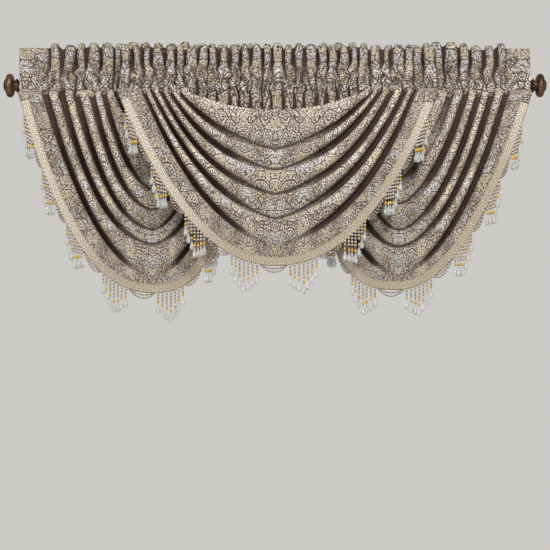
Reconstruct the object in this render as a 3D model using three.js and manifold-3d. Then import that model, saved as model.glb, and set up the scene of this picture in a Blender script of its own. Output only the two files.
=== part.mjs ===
// Three waterfall valances overlapping on a double curtain rod.
// The left and right valances hang on the rear rod, which carries the finials, and the centre
// valance hangs in front of them on a shorter front rod. Each valance is a gathered heading with a
// rod pocket, a swag that falls from the pocket's lower seam in U-shaped folds, and a woven braid
// with bead strands along the swag's lower edge.
//
// Millimetres, +Z up. The wall is the plane y = 0, the room lies on the -y side, and both rods are
// at the height z = 0. The origin is the middle of the centre bracket's wall face.

import * as THREE from 'three';
import { mergeVertices } from 'three/addons/utils/BufferGeometryUtils.js';
import Module from 'manifold-3d';

const wasm = await Module();
wasm.setup();

// Hardware
const ROD_RADIUS = 16;
const ROD_SIDES = 16;
const REAR_ROD_Y = -70;
const FRONT_ROD_Y = -142;
const REAR_ROD_HALF = 779;
const FRONT_ROD = { leftX: -446, rightX: 470 };
const FIT_GAP = 0.3;
const CRADLE_GAP = 0.4;
const CRADLE_STEPS = 10;
const FINIAL_SIDES = 14;
const PLATE = { thickness: 4, bottom: -46, top: 30 };
const END_BRACKET = { armX: 776, armWidth: 4, plateWidth: 42 };
const CENTRE_BRACKET = { armX: 28, armWidth: 6, plateWidth: 90 };
const ARM = { root: 1, rootTop: -10, rootBottom: -32, lip: 6, belowRod: -26, saddleAngle: 0.7 };

// Cloth
const CLOTH = 2;
const SEAM_Z = -30;
const SWAG_TOP_Z = -32;
const SWAG_IN_FRONT_OF_ROD = 25;
const RIM_BILLOW = 18;
const HEM_BILLOW = 8;
const LOW_ROUNDING = 0.15;
const SIDE_STEPS = 10;

// Folds that come to a soft point at their lowest place: how rounded the point is, and by how much
// more the rest of the line is curved
const POINT_ROUNDING = 0.05;
const POINT_POWER = 2.1;

// Shares of the way from a swag's lowest place out to the seam: where the folds reach their side
// depth, and where they begin to be drawn in by the sewing, with the share of depth lost there
const FULL_DEPTH_AT = 0.5;
const DRAWN_IN_FROM = 0.8;
const DRAWN_IN_LOSS = 0.6;

// Braid and beads
const BRAID_WIDTH = 25;
const BRAID_THICKNESS = 3.4;
const BRAID_OFF_CLOTH = 1.1;
const CLUSTERS = 8;
const CLUSTER_PITCH = 181;
const STRAND_SPACING = 13.5;
const STRAND_STAGGER = 7;
const ROOT_INSET = 0.06;
const LOOP_SAG = 22;
const LOOP_RADIUS = 1.9;
const LOOP_STEPS = 4;

// Length of each strand in a cluster, longest in the middle
const STRAND_LENGTHS = [64, 76, 86, 97, 88, 74, 62];

// Section of a strand down to its pointed tip. The drop is measured up from the tip.
const STRAND_ROOT_RADIUS = 0.95;
const DROP = { neckUp: 34, neckRadius: 1.9, bellyUp: 11, bellyRadius: 3.7 };

// Fold lines of each swag, from the free top rim down through the valleys between the folds to the
// lower edge. A line leaves the seam at leftX, runs lowest at lowZ and meets the seam again at
// rightX. The powers say how late it turns level, and the depths are those of the fold below it,
// at the sides and at the lowest place. point is the straight share of the lines between rim and edge.
// Columns: leftX, lowZ, rightX, leftPower, rightPower, sideDepth, lowDepth
const VALANCES = {
  left: {
    rodY: REAR_ROD_Y,
    lowX: -367,
    point: 0.12,
    clusterShift: -33,
    headerTop: 125,
    heading: { leftX: -771, rightX: -58, flatLeft: 84, flatRight: 0, pleats: 16 },
    lines: [
      [-486, -165, -250, 1.9, 2.0, 30, 16],
      [-515, -319, -226, 1.7, 1.9, 36, 22],
      [-552, -382, -199, 2.05, 1.9, 40, 22],
      [-599, -441, -170, 2.1, 1.9, 42, 20],
      [-643, -486, -140, 2.2, 2.3, 44, 18],
      [-692, -578, -106, 1.9, 2.2, 40, 12],
      [-771, -628, -62, 2.35, 3.0, 0, 0],
    ],
  },
  centre: {
    rodY: FRONT_ROD_Y,
    lowX: 1,
    point: 0.32,
    clusterShift: -5,
    headerTop: 113,
    heading: { leftX: -462, rightX: 480, flatLeft: 0, flatRight: 0, pleats: 29 },
    lines: [
      [-258, -91, 264, 2.25, 2.2, 30, 24],
      [-286, -205, 286, 1.7, 1.7, 32, 20],
      [-312, -267, 312, 2.0, 1.85, 34, 20],
      [-338, -339, 346, 1.95, 2.1, 36, 18],
      [-364, -411, 384, 1.75, 1.95, 38, 14],
      [-389, -492, 414, 1.7, 2.1, 36, 10],
      [-466, -547, 484, 2.2, 2.3, 0, 0],
    ],
  },
  right: {
    rodY: REAR_ROD_Y,
    lowX: 370,
    point: 0.12,
    clusterShift: -24,
    headerTop: 124,
    heading: { leftX: 58, rightX: 770, flatLeft: 0, flatRight: 74, pleats: 17 },
    lines: [
      [248, -160, 494, 2.0, 1.75, 30, 16],
      [224, -290, 529, 1.9, 1.45, 36, 22],
      [198, -365, 574, 1.9, 1.8, 40, 22],
      [171, -443, 614, 1.8, 1.85, 42, 20],
      [140, -494, 653, 2.3, 1.95, 44, 18],
      [106, -574, 696, 2.5, 1.8, 42, 12],
      [62, -619, 772, 3.4, 2.0, 0, 0],
    ],
  },
};

// Sections of the folds. Columns: share of the way to the next line, share of the fold's depth
const RIM_FOLD = [[0, 1], [0.5, 0.6]];
const PIPE_FOLD = [[0, 0], [0.31, 0.9], [0.69, 0.9]];
const HEM_FOLD = [[0, 0], [0.4, 0.75]];
const HEM_BAND = [[0, 1], [1, 1]];

// Section of a heading around its rod, as the outer skin from the top of the front to the top of the
// back and then the tunnel. Columns: y from the rod's axis, z, share of the gathers' depth
const GATHER_DEPTH = 12;
const HEADER_UNEVENNESS = 3;
const HEADER_WANDER = 23;
const HEADER_GAP_DROP = 12;
const SKIRT_BOTTOM_END = -38;
const SKIRT_BOTTOM_MIDDLE = -122;
const SKIRT_OVERLAP = 60;
const SKIRT_SLOPE = 110;
const HEADING_SKIN = [
  [-9.5, 'header', 1],
  [-9.5, 37, 0.5],
  [-21.5, 14, 0.6],
  [-21.5, -12, 0.6],
  [-15, SEAM_Z, 0.4],
  [-14, 'skirt', 0.55],
  [-11.5, 'skirt', 0.55],
  [-12.5, SEAM_Z, 0.4],
  [21.5, -13, -0.3],
  [21.5, 14, -0.3],
  [-7, 37, 0.5],
  [-7, 'header', 1],
];
const HEADING_TUNNEL = [
  [-8, 33, 0.5],
  [-19, 13, 0.6],
  [-19, -11, 0.6],
  [-12.5, -26.5, 0.4],
  [19, -12, -0.3],
  [19, 13, -0.3],
];
const FLAT_GATHER = 0.4;
const PLEAT_UNEVENNESS = 0.2;
const PLEAT_RHYTHM = 2.3;

// Slit in the back of the centre pocket, where the bracket's arms come through
const SLIT = { halfWidth: 42, halfHeight: 17, from: 10, to: 40 };

const CLOTH_COLOUR = 0xa8957f;
const HEADING_COLOUR = 0x94826f;
const BRAID_COLOUR = 0xd8cdb4;
const BRONZE_COLOUR = 0x4a3526;

function smooth(value) {
  const t = Math.min(Math.max(value, 0), 1);
  return t * t * (3 - 2 * t);
}

function fabric(colour) {
  return new THREE.MeshStandardMaterial({ color: colour, roughness: 0.85, metalness: 0 });
}

function bronze() {
  return new THREE.MeshStandardMaterial({ color: BRONZE_COLOUR, roughness: 0.4, metalness: 0.85 });
}

function namedMesh(name, geometry, material) {
  const mesh = new THREE.Mesh(geometry, material);
  mesh.name = name;
  return mesh;
}

// Geometry from a list of points and a list of faces, each a loop of three or four points
function geometryFrom(points, faces) {
  const geometry = new THREE.BufferGeometry();
  geometry.setAttribute('position', new THREE.Float32BufferAttribute(points.flatMap((p) => p.toArray()), 3));
  const triangles = faces.flatMap(([a, b, c, d]) => (d === undefined ? [a, b, c] : [a, b, c, a, c, d]));
  geometry.setIndex(triangles);
  return geometry;
}

// Joining and cutting of closed geometries
function toSolid(geometry) {
  const bare = geometry.clone();
  bare.deleteAttribute('normal');
  bare.deleteAttribute('uv');
  const merged = mergeVertices(bare, 1e-4);
  return new wasm.Manifold(new wasm.Mesh({
    numProp: 3,
    vertProperties: new Float32Array(merged.attributes.position.array),
    triVerts: new Uint32Array(merged.index.array),
  }));
}

function toGeometry(solid) {
  const mesh = solid.getMesh();
  const geometry = new THREE.BufferGeometry();
  geometry.setAttribute('position', new THREE.BufferAttribute(new Float32Array(mesh.vertProperties), 3));
  geometry.setIndex(new THREE.BufferAttribute(new Uint32Array(mesh.triVerts), 1));
  return geometry;
}

function joined(geometries) {
  const solids = geometries.map(toSolid);
  return toGeometry(solids.reduce((whole, solid) => whole.add(solid)));
}

// Height of a fold line as a share of the way from its lowest place (0) to the seam (1). The power
// curve is rounded near its lowest place, so that no line comes to a point there.
function climb(s, power, rounding = LOW_ROUNDING) {
  const rounded = (value) => (value * value + rounding * rounding) ** (power / 2);
  return (rounded(s) - rounded(0)) / (rounded(1) - rounded(0));
}

// As climb, with a share of it straight, so that a fold comes to a soft point at its lowest place
function pointedClimb(s, power, point) {
  return (1 - point) * climb(s, power + POINT_POWER * point) + point * climb(s, 1, POINT_ROUNDING);
}

// Point of fold line number k, s of the way from its lowest place out to the seam on one side
function linePoint(valance, k, side, s) {
  const [leftX, lowZ, rightX, leftPower, rightPower] = valance.lines[k];
  const endX = side < 0 ? leftX : rightX;
  const power = side < 0 ? leftPower : rightPower;
  const isFold = k > 0 && k < valance.lines.length - 1;
  return {
    x: valance.lowX + (endX - valance.lowX) * s,
    z: lowZ + (SWAG_TOP_Z - lowZ) * pointedClimb(s, power, isFold ? valance.point : 0),
  };
}

// Point of the braid's upper edge: the swag's lower edge moved inwards by the braid's width
function braidLinePoint(valance, side, s) {
  const edge = valance.lines.length - 1;
  const step = 0.01;
  const near = linePoint(valance, edge, side, Math.max(s - step, 0));
  const far = linePoint(valance, edge, side, Math.min(s + step, 1));
  const here = linePoint(valance, edge, side, s);
  const run = Math.abs(far.x - near.x);
  const rise = far.z - near.z;
  const length = Math.hypot(run, rise);
  return {
    x: here.x - (side * BRAID_WIDTH * rise) / length,
    z: Math.min(here.z + (BRAID_WIDTH * run) / length, SWAG_TOP_Z),
  };
}

// Rows of the swag's grid from rim to lower edge: the lines above and below, and the shares
function swagRows(valance) {
  const edge = valance.lines.length - 1;
  const rows = [];
  for (let fold = 0; fold < edge - 1; fold += 1) {
    const section = fold === 0 ? RIM_FOLD : PIPE_FOLD;
    section.forEach(([share, lift]) => rows.push({ fold, upper: fold, lower: fold + 1, share, lift }));
  }
  const hem = edge - 1;
  HEM_FOLD.forEach(([share, lift]) => rows.push({ fold: hem, upper: hem, lower: 'braid', share, lift }));
  HEM_BAND.forEach(([share, lift]) => rows.push({ fold: hem, upper: 'braid', lower: edge, share, lift }));
  return rows;
}

// Stations along the swag from its left end to its right end, closer together near the seam
function swagStations() {
  const stations = [];
  for (let i = -SIDE_STEPS; i <= SIDE_STEPS; i += 1) {
    stations.push({ side: i < 0 ? -1 : 1, s: Math.sin((Math.PI / 2) * Math.abs(i / SIDE_STEPS)) });
  }
  return stations;
}

// Point on the swag's front face. Folds stand forward of the valleys, deepest at the sides, drawn in
// where they are sewn, and the whole swag billows forward between its two ends.
function swagPoint(valance, { side, s }, { fold, upper, lower, share, lift }) {
  const place = (line) => (line === 'braid'
    ? braidLinePoint(valance, side, s)
    : linePoint(valance, line, side, s));
  const a = place(upper);
  const b = place(lower);
  const [, , , , , sideDepth, lowDepth] = valance.lines[fold];
  const drawnIn = 1 - DRAWN_IN_LOSS * smooth((s - DRAWN_IN_FROM) / (1 - DRAWN_IN_FROM));
  const depth = (lowDepth + (sideDepth - lowDepth) * smooth(s / FULL_DEPTH_AT)) * drawnIn;
  const down = Math.min((fold + share) / (valance.lines.length - 1), 1);
  const billow = (RIM_BILLOW + (HEM_BILLOW - RIM_BILLOW) * down) * (1 - s * s);
  return new THREE.Vector3(
    a.x + (b.x - a.x) * share,
    valance.rodY - SWAG_IN_FRONT_OF_ROD - billow - depth * lift,
    a.z + (b.z - a.z) * share,
  );
}

// Unit normals of a grid of points, on the side that faces the room
function gridNormals(grid) {
  const lastI = grid.length - 1;
  const lastJ = grid[0].length - 1;
  return grid.map((column, i) => column.map((_, j) => {
    const along = grid[Math.min(i + 1, lastI)][j].clone().sub(grid[Math.max(i - 1, 0)][j]);
    const across = grid[i][Math.min(j + 1, lastJ)].clone().sub(grid[i][Math.max(j - 1, 0)]);
    return across.cross(along).normalize();
  }));
}

// Closed sheet between two grids of the same size, front facing the room
function sheetBetween(front, back) {
  const columns = front.length;
  const rows = front[0].length;
  const points = [...front.flat(), ...back.flat()];
  const at = (i, j) => i * rows + j;
  const behind = (i, j) => columns * rows + at(i, j);
  const faces = [];
  for (let i = 0; i + 1 < columns; i += 1) {
    for (let j = 0; j + 1 < rows; j += 1) {
      faces.push([at(i, j), at(i, j + 1), at(i + 1, j + 1), at(i + 1, j)]);
      faces.push([behind(i, j), behind(i + 1, j), behind(i + 1, j + 1), behind(i, j + 1)]);
    }
    const last = rows - 1;
    faces.push([at(i, 0), at(i + 1, 0), behind(i + 1, 0), behind(i, 0)]);
    faces.push([at(i, last), behind(i, last), behind(i + 1, last), at(i + 1, last)]);
  }
  for (let j = 0; j + 1 < rows; j += 1) {
    const last = columns - 1;
    faces.push([at(0, j), behind(0, j), behind(0, j + 1), at(0, j + 1)]);
    faces.push([at(last, j), at(last, j + 1), behind(last, j + 1), behind(last, j)]);
  }
  return geometryFrom(points, faces);
}

function offsetGrid(grid, normals, distance) {
  return grid.map((column, i) => column.map((p, j) => p.clone().addScaledVector(normals[i][j], distance)));
}

function swagGrid(valance) {
  const rows = swagRows(valance);
  return swagStations().map((station) => rows.map((row) => swagPoint(valance, station, row)));
}

function makeSwag(name, valance) {
  const front = swagGrid(valance);
  const back = offsetGrid(front, gridNormals(front), -CLOTH);
  return namedMesh(`${name}_swag`, sheetBetween(front, back), fabric(CLOTH_COLOUR));
}

// Closed tube through rings of points, all of the same number, with a pointed end if a tip is given
function loft(rings, tip) {
  const sides = rings[0].length;
  const points = [...rings.flat(), ...(tip ? [tip] : [])];
  const lastRing = (rings.length - 1) * sides;
  const faces = [];
  rings.slice(1).forEach((_, r) => {
    for (let k = 0; k < sides; k += 1) {
      const next = (k + 1) % sides;
      faces.push([r * sides + k, r * sides + next, (r + 1) * sides + next, (r + 1) * sides + k]);
    }
  });
  const round = [...Array(sides).keys()];
  faces.push(round.slice().reverse());
  if (tip) {
    round.forEach((k) => faces.push([lastRing + k, lastRing + ((k + 1) % sides), points.length - 1]));
  } else {
    faces.push(round.map((k) => lastRing + k));
  }
  return geometryFrom(points, faces);
}

function triangleRing(centre, radius, acrossA, acrossB) {
  return [0, 1, 2].map((k) => {
    const angle = (k * 2 * Math.PI) / 3;
    return centre.clone()
      .addScaledVector(acrossA, radius * Math.cos(angle))
      .addScaledVector(acrossB, radius * Math.sin(angle));
  });
}

const X_AXIS = new THREE.Vector3(1, 0, 0);
const FORWARD = new THREE.Vector3(0, -1, 0);

// Bead strand hanging down from its root, its drop swung forward
function strand(root, length, swing) {
  const hang = (below) => root.clone().add(new THREE.Vector3(0, (-swing * below) / length, -below));
  const ring = (below, radius) => triangleRing(hang(below), radius, X_AXIS, FORWARD);
  const rings = [
    ring(0, STRAND_ROOT_RADIUS),
    ring(length - DROP.neckUp, DROP.neckRadius),
    ring(length - DROP.bellyUp, DROP.bellyRadius),
  ];
  return loft(rings, hang(length));
}

// String of beads that sags between two roots
function beadLoop(from, to) {
  const rings = [];
  const level = new THREE.Vector3(to.x - from.x, 0, 0).normalize();
  for (let k = 0; k <= LOOP_STEPS; k += 1) {
    const t = k / LOOP_STEPS;
    const centre = from.clone().lerp(to, t);
    centre.z -= LOOP_SAG * 4 * t * (1 - t);
    const radius = k % LOOP_STEPS === 0 ? STRAND_ROOT_RADIUS : LOOP_RADIUS;
    const slope = (to.z - from.z - LOOP_SAG * 4 * (1 - 2 * t)) / Math.abs(to.x - from.x);
    const upright = new THREE.Vector3(-slope * level.x, 0, 1).normalize();
    rings.push(triangleRing(centre, radius, upright, FORWARD));
  }
  return loft(rings);
}

// Places along the braid's lower edge, by their distance from its lowest place
function edgeWalker(outer, inner) {
  const middle = (outer.length - 1) / 2;
  const root = (i, t) => {
    const low = outer[i].clone().lerp(outer[i + 1], t);
    const high = inner[i].clone().lerp(inner[i + 1], t);
    return low.lerp(high, ROOT_INSET);
  };
  return (distance) => {
    const direction = Math.sign(distance) || 1;
    let left = Math.abs(distance);
    let i = middle;
    while (i + direction >= 0 && i + direction < outer.length) {
      const step = outer[i].distanceTo(outer[i + direction]);
      if (left <= step) {
        return direction > 0 ? root(i, left / step) : root(i - 1, 1 - left / step);
      }
      left -= step;
      i += direction;
    }
    return null;
  };
}

// Braid on the swag's lower edge, with clusters of bead strands and a sagging loop between clusters.
// The braid ends one station short of the seam on both sides.
function makeTrim(name, valance) {
  const grid = swagGrid(valance);
  const normals = gridNormals(grid);
  const band = grid.slice(1, -1).map((column) => column.slice(-2));
  const bandNormals = normals.slice(1, -1).map((column) => [column.at(-1), column.at(-1)]);
  const back = offsetGrid(band, bandNormals, BRAID_OFF_CLOTH);
  const front = offsetGrid(band, bandNormals, BRAID_OFF_CLOTH + BRAID_THICKNESS);
  const middle = offsetGrid(band, bandNormals, BRAID_OFF_CLOTH + BRAID_THICKNESS / 2);
  const place = edgeWalker(middle.map((column) => column[1]), middle.map((column) => column[0]));

  const pieces = [sheetBetween(front, back)];
  const halfCluster = ((STRAND_LENGTHS.length - 1) / 2) * STRAND_SPACING;
  const halfLoop = (CLUSTER_PITCH - STRAND_LENGTHS.length * STRAND_SPACING) / 2;
  for (let c = 0; c < CLUSTERS; c += 1) {
    const clusterMiddle = (c - (CLUSTERS - 1) / 2) * CLUSTER_PITCH + valance.clusterShift;
    STRAND_LENGTHS.forEach((length, k) => {
      const root = place(clusterMiddle - halfCluster + k * STRAND_SPACING);
      if (root) {
        pieces.push(strand(root, length, k % 2 === 0 ? 0 : STRAND_STAGGER));
      }
    });
    const loopMiddle = clusterMiddle + CLUSTER_PITCH / 2;
    const from = place(loopMiddle - halfLoop);
    const to = place(loopMiddle + halfLoop);
    if (from && to && c + 1 < CLUSTERS) {
      pieces.push(beadLoop(from, to));
    }
  }
  return namedMesh(`${name}_trim`, joined(pieces), fabric(BRAID_COLOUR));
}

// Columns of a heading from left to right: flat ends, and between them a crest and a trough for each
// pleat, the pleats of uneven width. gather is 1 on a crest and 0 in a trough.
function headingColumns({ leftX, rightX, flatLeft, flatRight, pleats }) {
  const widths = [...Array(pleats).keys()].map((k) => 1 + PLEAT_UNEVENNESS * Math.sin(PLEAT_RHYTHM * k));
  const total = widths.reduce((sum, width) => sum + width, 0);
  const scale = (rightX - leftX - flatLeft - flatRight) / total;
  const columns = [];
  if (flatLeft) {
    columns.push({ x: leftX, gather: FLAT_GATHER });
  }
  let x = leftX + flatLeft;
  widths.forEach((width) => {
    columns.push({ x, gather: 0 });
    columns.push({ x: x + (width * scale) / 2, gather: 1 });
    x += width * scale;
  });
  columns.push({ x: rightX - flatRight, gather: 0 });
  if (flatRight) {
    columns.push({ x: rightX, gather: FLAT_GATHER });
  }
  return columns;
}

// The skirt below the seam is short at the ends of the heading and full between the swag's ends
function skirtBottom(valance, x) {
  const [rimLeftX, , rimRightX] = valance.lines[0];
  const inside = SKIRT_OVERLAP + Math.min(x - rimLeftX, rimRightX - x);
  return SKIRT_BOTTOM_END + (SKIRT_BOTTOM_MIDDLE - SKIRT_BOTTOM_END) * smooth(inside / SKIRT_SLOPE);
}

// Solid swept through rings that each have an outer skin and an inner tunnel
function sweptTube(skins, tunnels) {
  const outerCount = skins[0].length;
  const innerCount = tunnels[0].length;
  const size = outerCount + innerCount;
  const points = skins.flatMap((skin, i) => [...skin, ...tunnels[i]]);
  const faces = [];
  for (let i = 0; i + 1 < skins.length; i += 1) {
    for (let k = 0; k < outerCount; k += 1) {
      const next = (k + 1) % outerCount;
      faces.push([i * size + k, i * size + next, (i + 1) * size + next, (i + 1) * size + k]);
    }
    for (let k = 0; k < innerCount; k += 1) {
      const here = outerCount + k;
      const next = outerCount + ((k + 1) % innerCount);
      faces.push([i * size + here, (i + 1) * size + here, (i + 1) * size + next, i * size + next]);
    }
  }
  const flat = (ring) => ring.map((p) => new THREE.Vector2(p.y, p.z));
  [0, skins.length - 1].forEach((i) => {
    const cap = THREE.ShapeUtils.triangulateShape(flat(skins[i]), [flat(tunnels[i])]);
    cap.forEach(([a, b, c]) => {
      const face = [i * size + a, i * size + b, i * size + c];
      const [p, q, r] = [a, b, c].map((k) => flat([...skins[i], ...tunnels[i]])[k]);
      const turn = (q.x - p.x) * (r.y - p.y) - (q.y - p.y) * (r.x - p.x);
      const facesLeft = i === 0;
      faces.push((turn > 0) === facesLeft ? face.reverse() : face);
    });
  });
  return geometryFrom(points, faces);
}

function makeHeading(name, valance) {
  const ring = (section, { x, gather }) => {
    const ends = {
      header: valance.headerTop + HEADER_UNEVENNESS * Math.sin(x / HEADER_WANDER)
        - HEADER_GAP_DROP * (1 - gather),
      skirt: skirtBottom(valance, x),
    };
    return section.map(([y, z, share]) => new THREE.Vector3(
      x,
      valance.rodY + y - GATHER_DEPTH * share * gather,
      ends[z] ?? z,
    ));
  };
  const columns = headingColumns(valance.heading);
  const skins = columns.map((column) => ring(HEADING_SKIN, column));
  const tunnels = columns.map((column) => ring(HEADING_TUNNEL, column));
  let geometry = sweptTube(skins, tunnels);
  if (valance.rodY === FRONT_ROD_Y) {
    const slit = new THREE.BoxGeometry(2 * SLIT.halfWidth, SLIT.to - SLIT.from, 2 * SLIT.halfHeight);
    slit.translate(0, valance.rodY + (SLIT.from + SLIT.to) / 2, 0);
    geometry = toGeometry(toSolid(geometry).subtract(toSolid(slit)));
  }
  return namedMesh(`${name}_heading`, geometry, fabric(HEADING_COLOUR));
}

function makeRod(name, y, leftX, rightX) {
  const geometry = new THREE.CylinderGeometry(ROD_RADIUS, ROD_RADIUS, rightX - leftX, ROD_SIDES);
  const rod = namedMesh(name, geometry, bronze());
  rod.rotation.z = Math.PI / 2;
  rod.position.set((leftX + rightX) / 2, y, 0);
  return rod;
}

// Turned finial: a collar, a thick rounded disc and a low end cap
function makeFinial(name, side) {
  const collarRadius = 20.5;
  const discRadius = 36;
  const discHalf = 11.5;
  const discCentre = 24;
  const capRadius = 17;
  const capRounding = 4;
  const end = 43;
  const rimSteps = 4;
  const profile = [[0, 0], [collarRadius, 0], [collarRadius, discCentre - discHalf]];
  for (let k = 0; k <= rimSteps; k += 1) {
    const angle = -Math.PI / 2 + (k * Math.PI) / rimSteps;
    profile.push([
      discRadius - discHalf + discHalf * Math.cos(angle),
      discCentre + discHalf * Math.sin(angle),
    ]);
  }
  profile.push([capRadius, discCentre + discHalf], [capRadius, end - capRounding], [0, end]);
  const points = profile.map(([radius, along]) => new THREE.Vector2(radius, along));
  const finial = namedMesh(name, new THREE.LatheGeometry(points, FINIAL_SIDES), bronze());
  finial.rotation.z = (-side * Math.PI) / 2;
  finial.position.set(side * (REAR_ROD_HALF + FIT_GAP), REAR_ROD_Y, 0);
  return finial;
}

// Bracket arm, drawn as its side view with distance from the wall across and height up
function armGeometry(outline, width, x) {
  const options = { depth: width, bevelEnabled: false, curveSegments: CRADLE_STEPS };
  const geometry = new THREE.ExtrudeGeometry(outline, options);
  geometry.applyMatrix4(new THREE.Matrix4().makeBasis(
    new THREE.Vector3(0, -1, 0),
    new THREE.Vector3(0, 0, 1),
    new THREE.Vector3(-1, 0, 0),
  ));
  geometry.translate(x + width / 2, 0, 0);
  return geometry;
}

function wallPlate(width, x) {
  const plate = new THREE.BoxGeometry(width, PLATE.thickness, PLATE.top - PLATE.bottom);
  plate.translate(x, -PLATE.thickness / 2, (PLATE.top + PLATE.bottom) / 2);
  return plate;
}

// Side view of an arm that cradles the rear rod from below, begun at its root in the wall plate
function startArm() {
  const rod = -REAR_ROD_Y;
  const cradle = ROD_RADIUS + CRADLE_GAP;
  const outline = new THREE.Shape();
  outline.moveTo(ARM.root, ARM.rootTop);
  outline.lineTo(rod - cradle - 2 * ARM.lip, ARM.rootTop);
  outline.lineTo(rod - cradle - ARM.lip, 0);
  outline.lineTo(rod - cradle, 0);
  outline.absarc(rod, 0, cradle, Math.PI, 2 * Math.PI, false);
  outline.lineTo(rod + cradle + ARM.lip, 0);
  return outline;
}

function endArm() {
  const rod = -REAR_ROD_Y;
  const outline = startArm();
  outline.lineTo(rod + ROD_RADIUS + ARM.lip, ARM.rootTop);
  outline.lineTo(rod + ROD_RADIUS / 2, ARM.belowRod);
  outline.lineTo(ARM.root, ARM.rootBottom);
  outline.closePath();
  return outline;
}

// The centre arm goes on past the rear rod to a saddle against the back of the front rod
function centreArm() {
  const rear = -REAR_ROD_Y;
  const front = -FRONT_ROD_Y;
  const saddle = ROD_RADIUS + CRADLE_GAP;
  const saddleHalf = saddle * Math.sin(ARM.saddleAngle);
  const halfWay = (rear + front) / 2;
  const outline = startArm();
  outline.lineTo(halfWay, saddleHalf);
  outline.lineTo(front - saddle * Math.cos(ARM.saddleAngle), saddleHalf);
  outline.absarc(front, 0, saddle, Math.PI - ARM.saddleAngle, Math.PI + ARM.saddleAngle, false);
  outline.lineTo(halfWay, -saddleHalf);
  outline.lineTo(rear + saddle, ARM.belowRod);
  outline.lineTo(ARM.root, ARM.rootBottom);
  outline.closePath();
  return outline;
}

function makeEndBracket(name, side) {
  const { armX, armWidth, plateWidth } = END_BRACKET;
  const arm = armGeometry(endArm(), armWidth, side * armX);
  const plate = wallPlate(plateWidth, side * (armX + armWidth / 2 - plateWidth / 2));
  return namedMesh(name, joined([plate, arm]), bronze());
}

function makeCentreBracket(name) {
  const { armX, armWidth, plateWidth } = CENTRE_BRACKET;
  const arms = [-1, 1].map((side) => armGeometry(centreArm(), armWidth, side * armX));
  return namedMesh(name, joined([wallPlate(plateWidth, 0), ...arms]), bronze());
}

function makeHardware() {
  const hardware = new THREE.Group();
  hardware.add(
    makeRod('rear_rod', REAR_ROD_Y, -REAR_ROD_HALF, REAR_ROD_HALF),
    makeRod('front_rod', FRONT_ROD_Y, FRONT_ROD.leftX, FRONT_ROD.rightX),
    makeFinial('finial_left', -1),
    makeFinial('finial_right', 1),
    makeEndBracket('bracket_left', -1),
    makeCentreBracket('bracket_centre'),
    makeEndBracket('bracket_right', 1),
  );
  return hardware;
}

function makeValance(name, valance) {
  const group = new THREE.Group();
  group.add(makeHeading(name, valance), makeSwag(name, valance), makeTrim(name, valance));
  return group;
}

const valances = new THREE.Group();
valances.add(makeHardware());
Object.entries(VALANCES).forEach(([name, valance]) => valances.add(makeValance(name, valance)));

export default valances;
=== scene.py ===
"""Looks of three waterfall valances on a double curtain rod.

Metres, +Z up. The wall is the plane y = 0, the room lies on the -y side, and both rods are at z = 0.
Every valance is a gathered heading, a swag in U-shaped folds, a braid and a fringe of beads. The sizes
and fold lines are those of the solids, and the surfaces here are finer versions of them.
"""

from typing import NamedTuple

import bpy
import numpy as np
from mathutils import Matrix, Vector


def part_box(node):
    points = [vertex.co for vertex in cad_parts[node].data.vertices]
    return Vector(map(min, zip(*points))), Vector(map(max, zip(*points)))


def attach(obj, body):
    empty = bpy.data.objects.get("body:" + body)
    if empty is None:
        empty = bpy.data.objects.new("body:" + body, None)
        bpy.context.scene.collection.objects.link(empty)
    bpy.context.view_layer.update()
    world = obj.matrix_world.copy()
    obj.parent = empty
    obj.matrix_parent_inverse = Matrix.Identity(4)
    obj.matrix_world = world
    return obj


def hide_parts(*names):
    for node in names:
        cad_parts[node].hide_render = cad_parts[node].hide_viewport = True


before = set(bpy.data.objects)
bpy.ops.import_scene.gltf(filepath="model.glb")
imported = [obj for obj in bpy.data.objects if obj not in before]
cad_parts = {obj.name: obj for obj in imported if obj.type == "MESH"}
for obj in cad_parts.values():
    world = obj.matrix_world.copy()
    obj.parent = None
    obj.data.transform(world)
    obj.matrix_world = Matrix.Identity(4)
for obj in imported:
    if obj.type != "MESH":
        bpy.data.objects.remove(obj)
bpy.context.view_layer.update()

bl_info = {
    "name": "Waterfall valances",
    "version": (1, 0, 0),
    "blender": (4, 5, 0),
    "location": "3D View > Sidebar > Valances",
    "description": "Builds swags, headings, braids, beads and rods around a packed frame",
    "category": "Object",
}

BODY = "root"

# Rods and the places where the cloth is sewn
REAR_ROD_Y = -0.070
FRONT_ROD_Y = -0.142
SWAG_TOP_Z = -0.032
SEAM_Z = -0.030

# Columns of a swag's fold lines, which run from the free rim down through the valleys to the lower edge
LEFT_X, LOW_Z, RIGHT_X, LEFT_POWER, RIGHT_POWER, SIDE_DEPTH, LOW_DEPTH = range(7)

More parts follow.
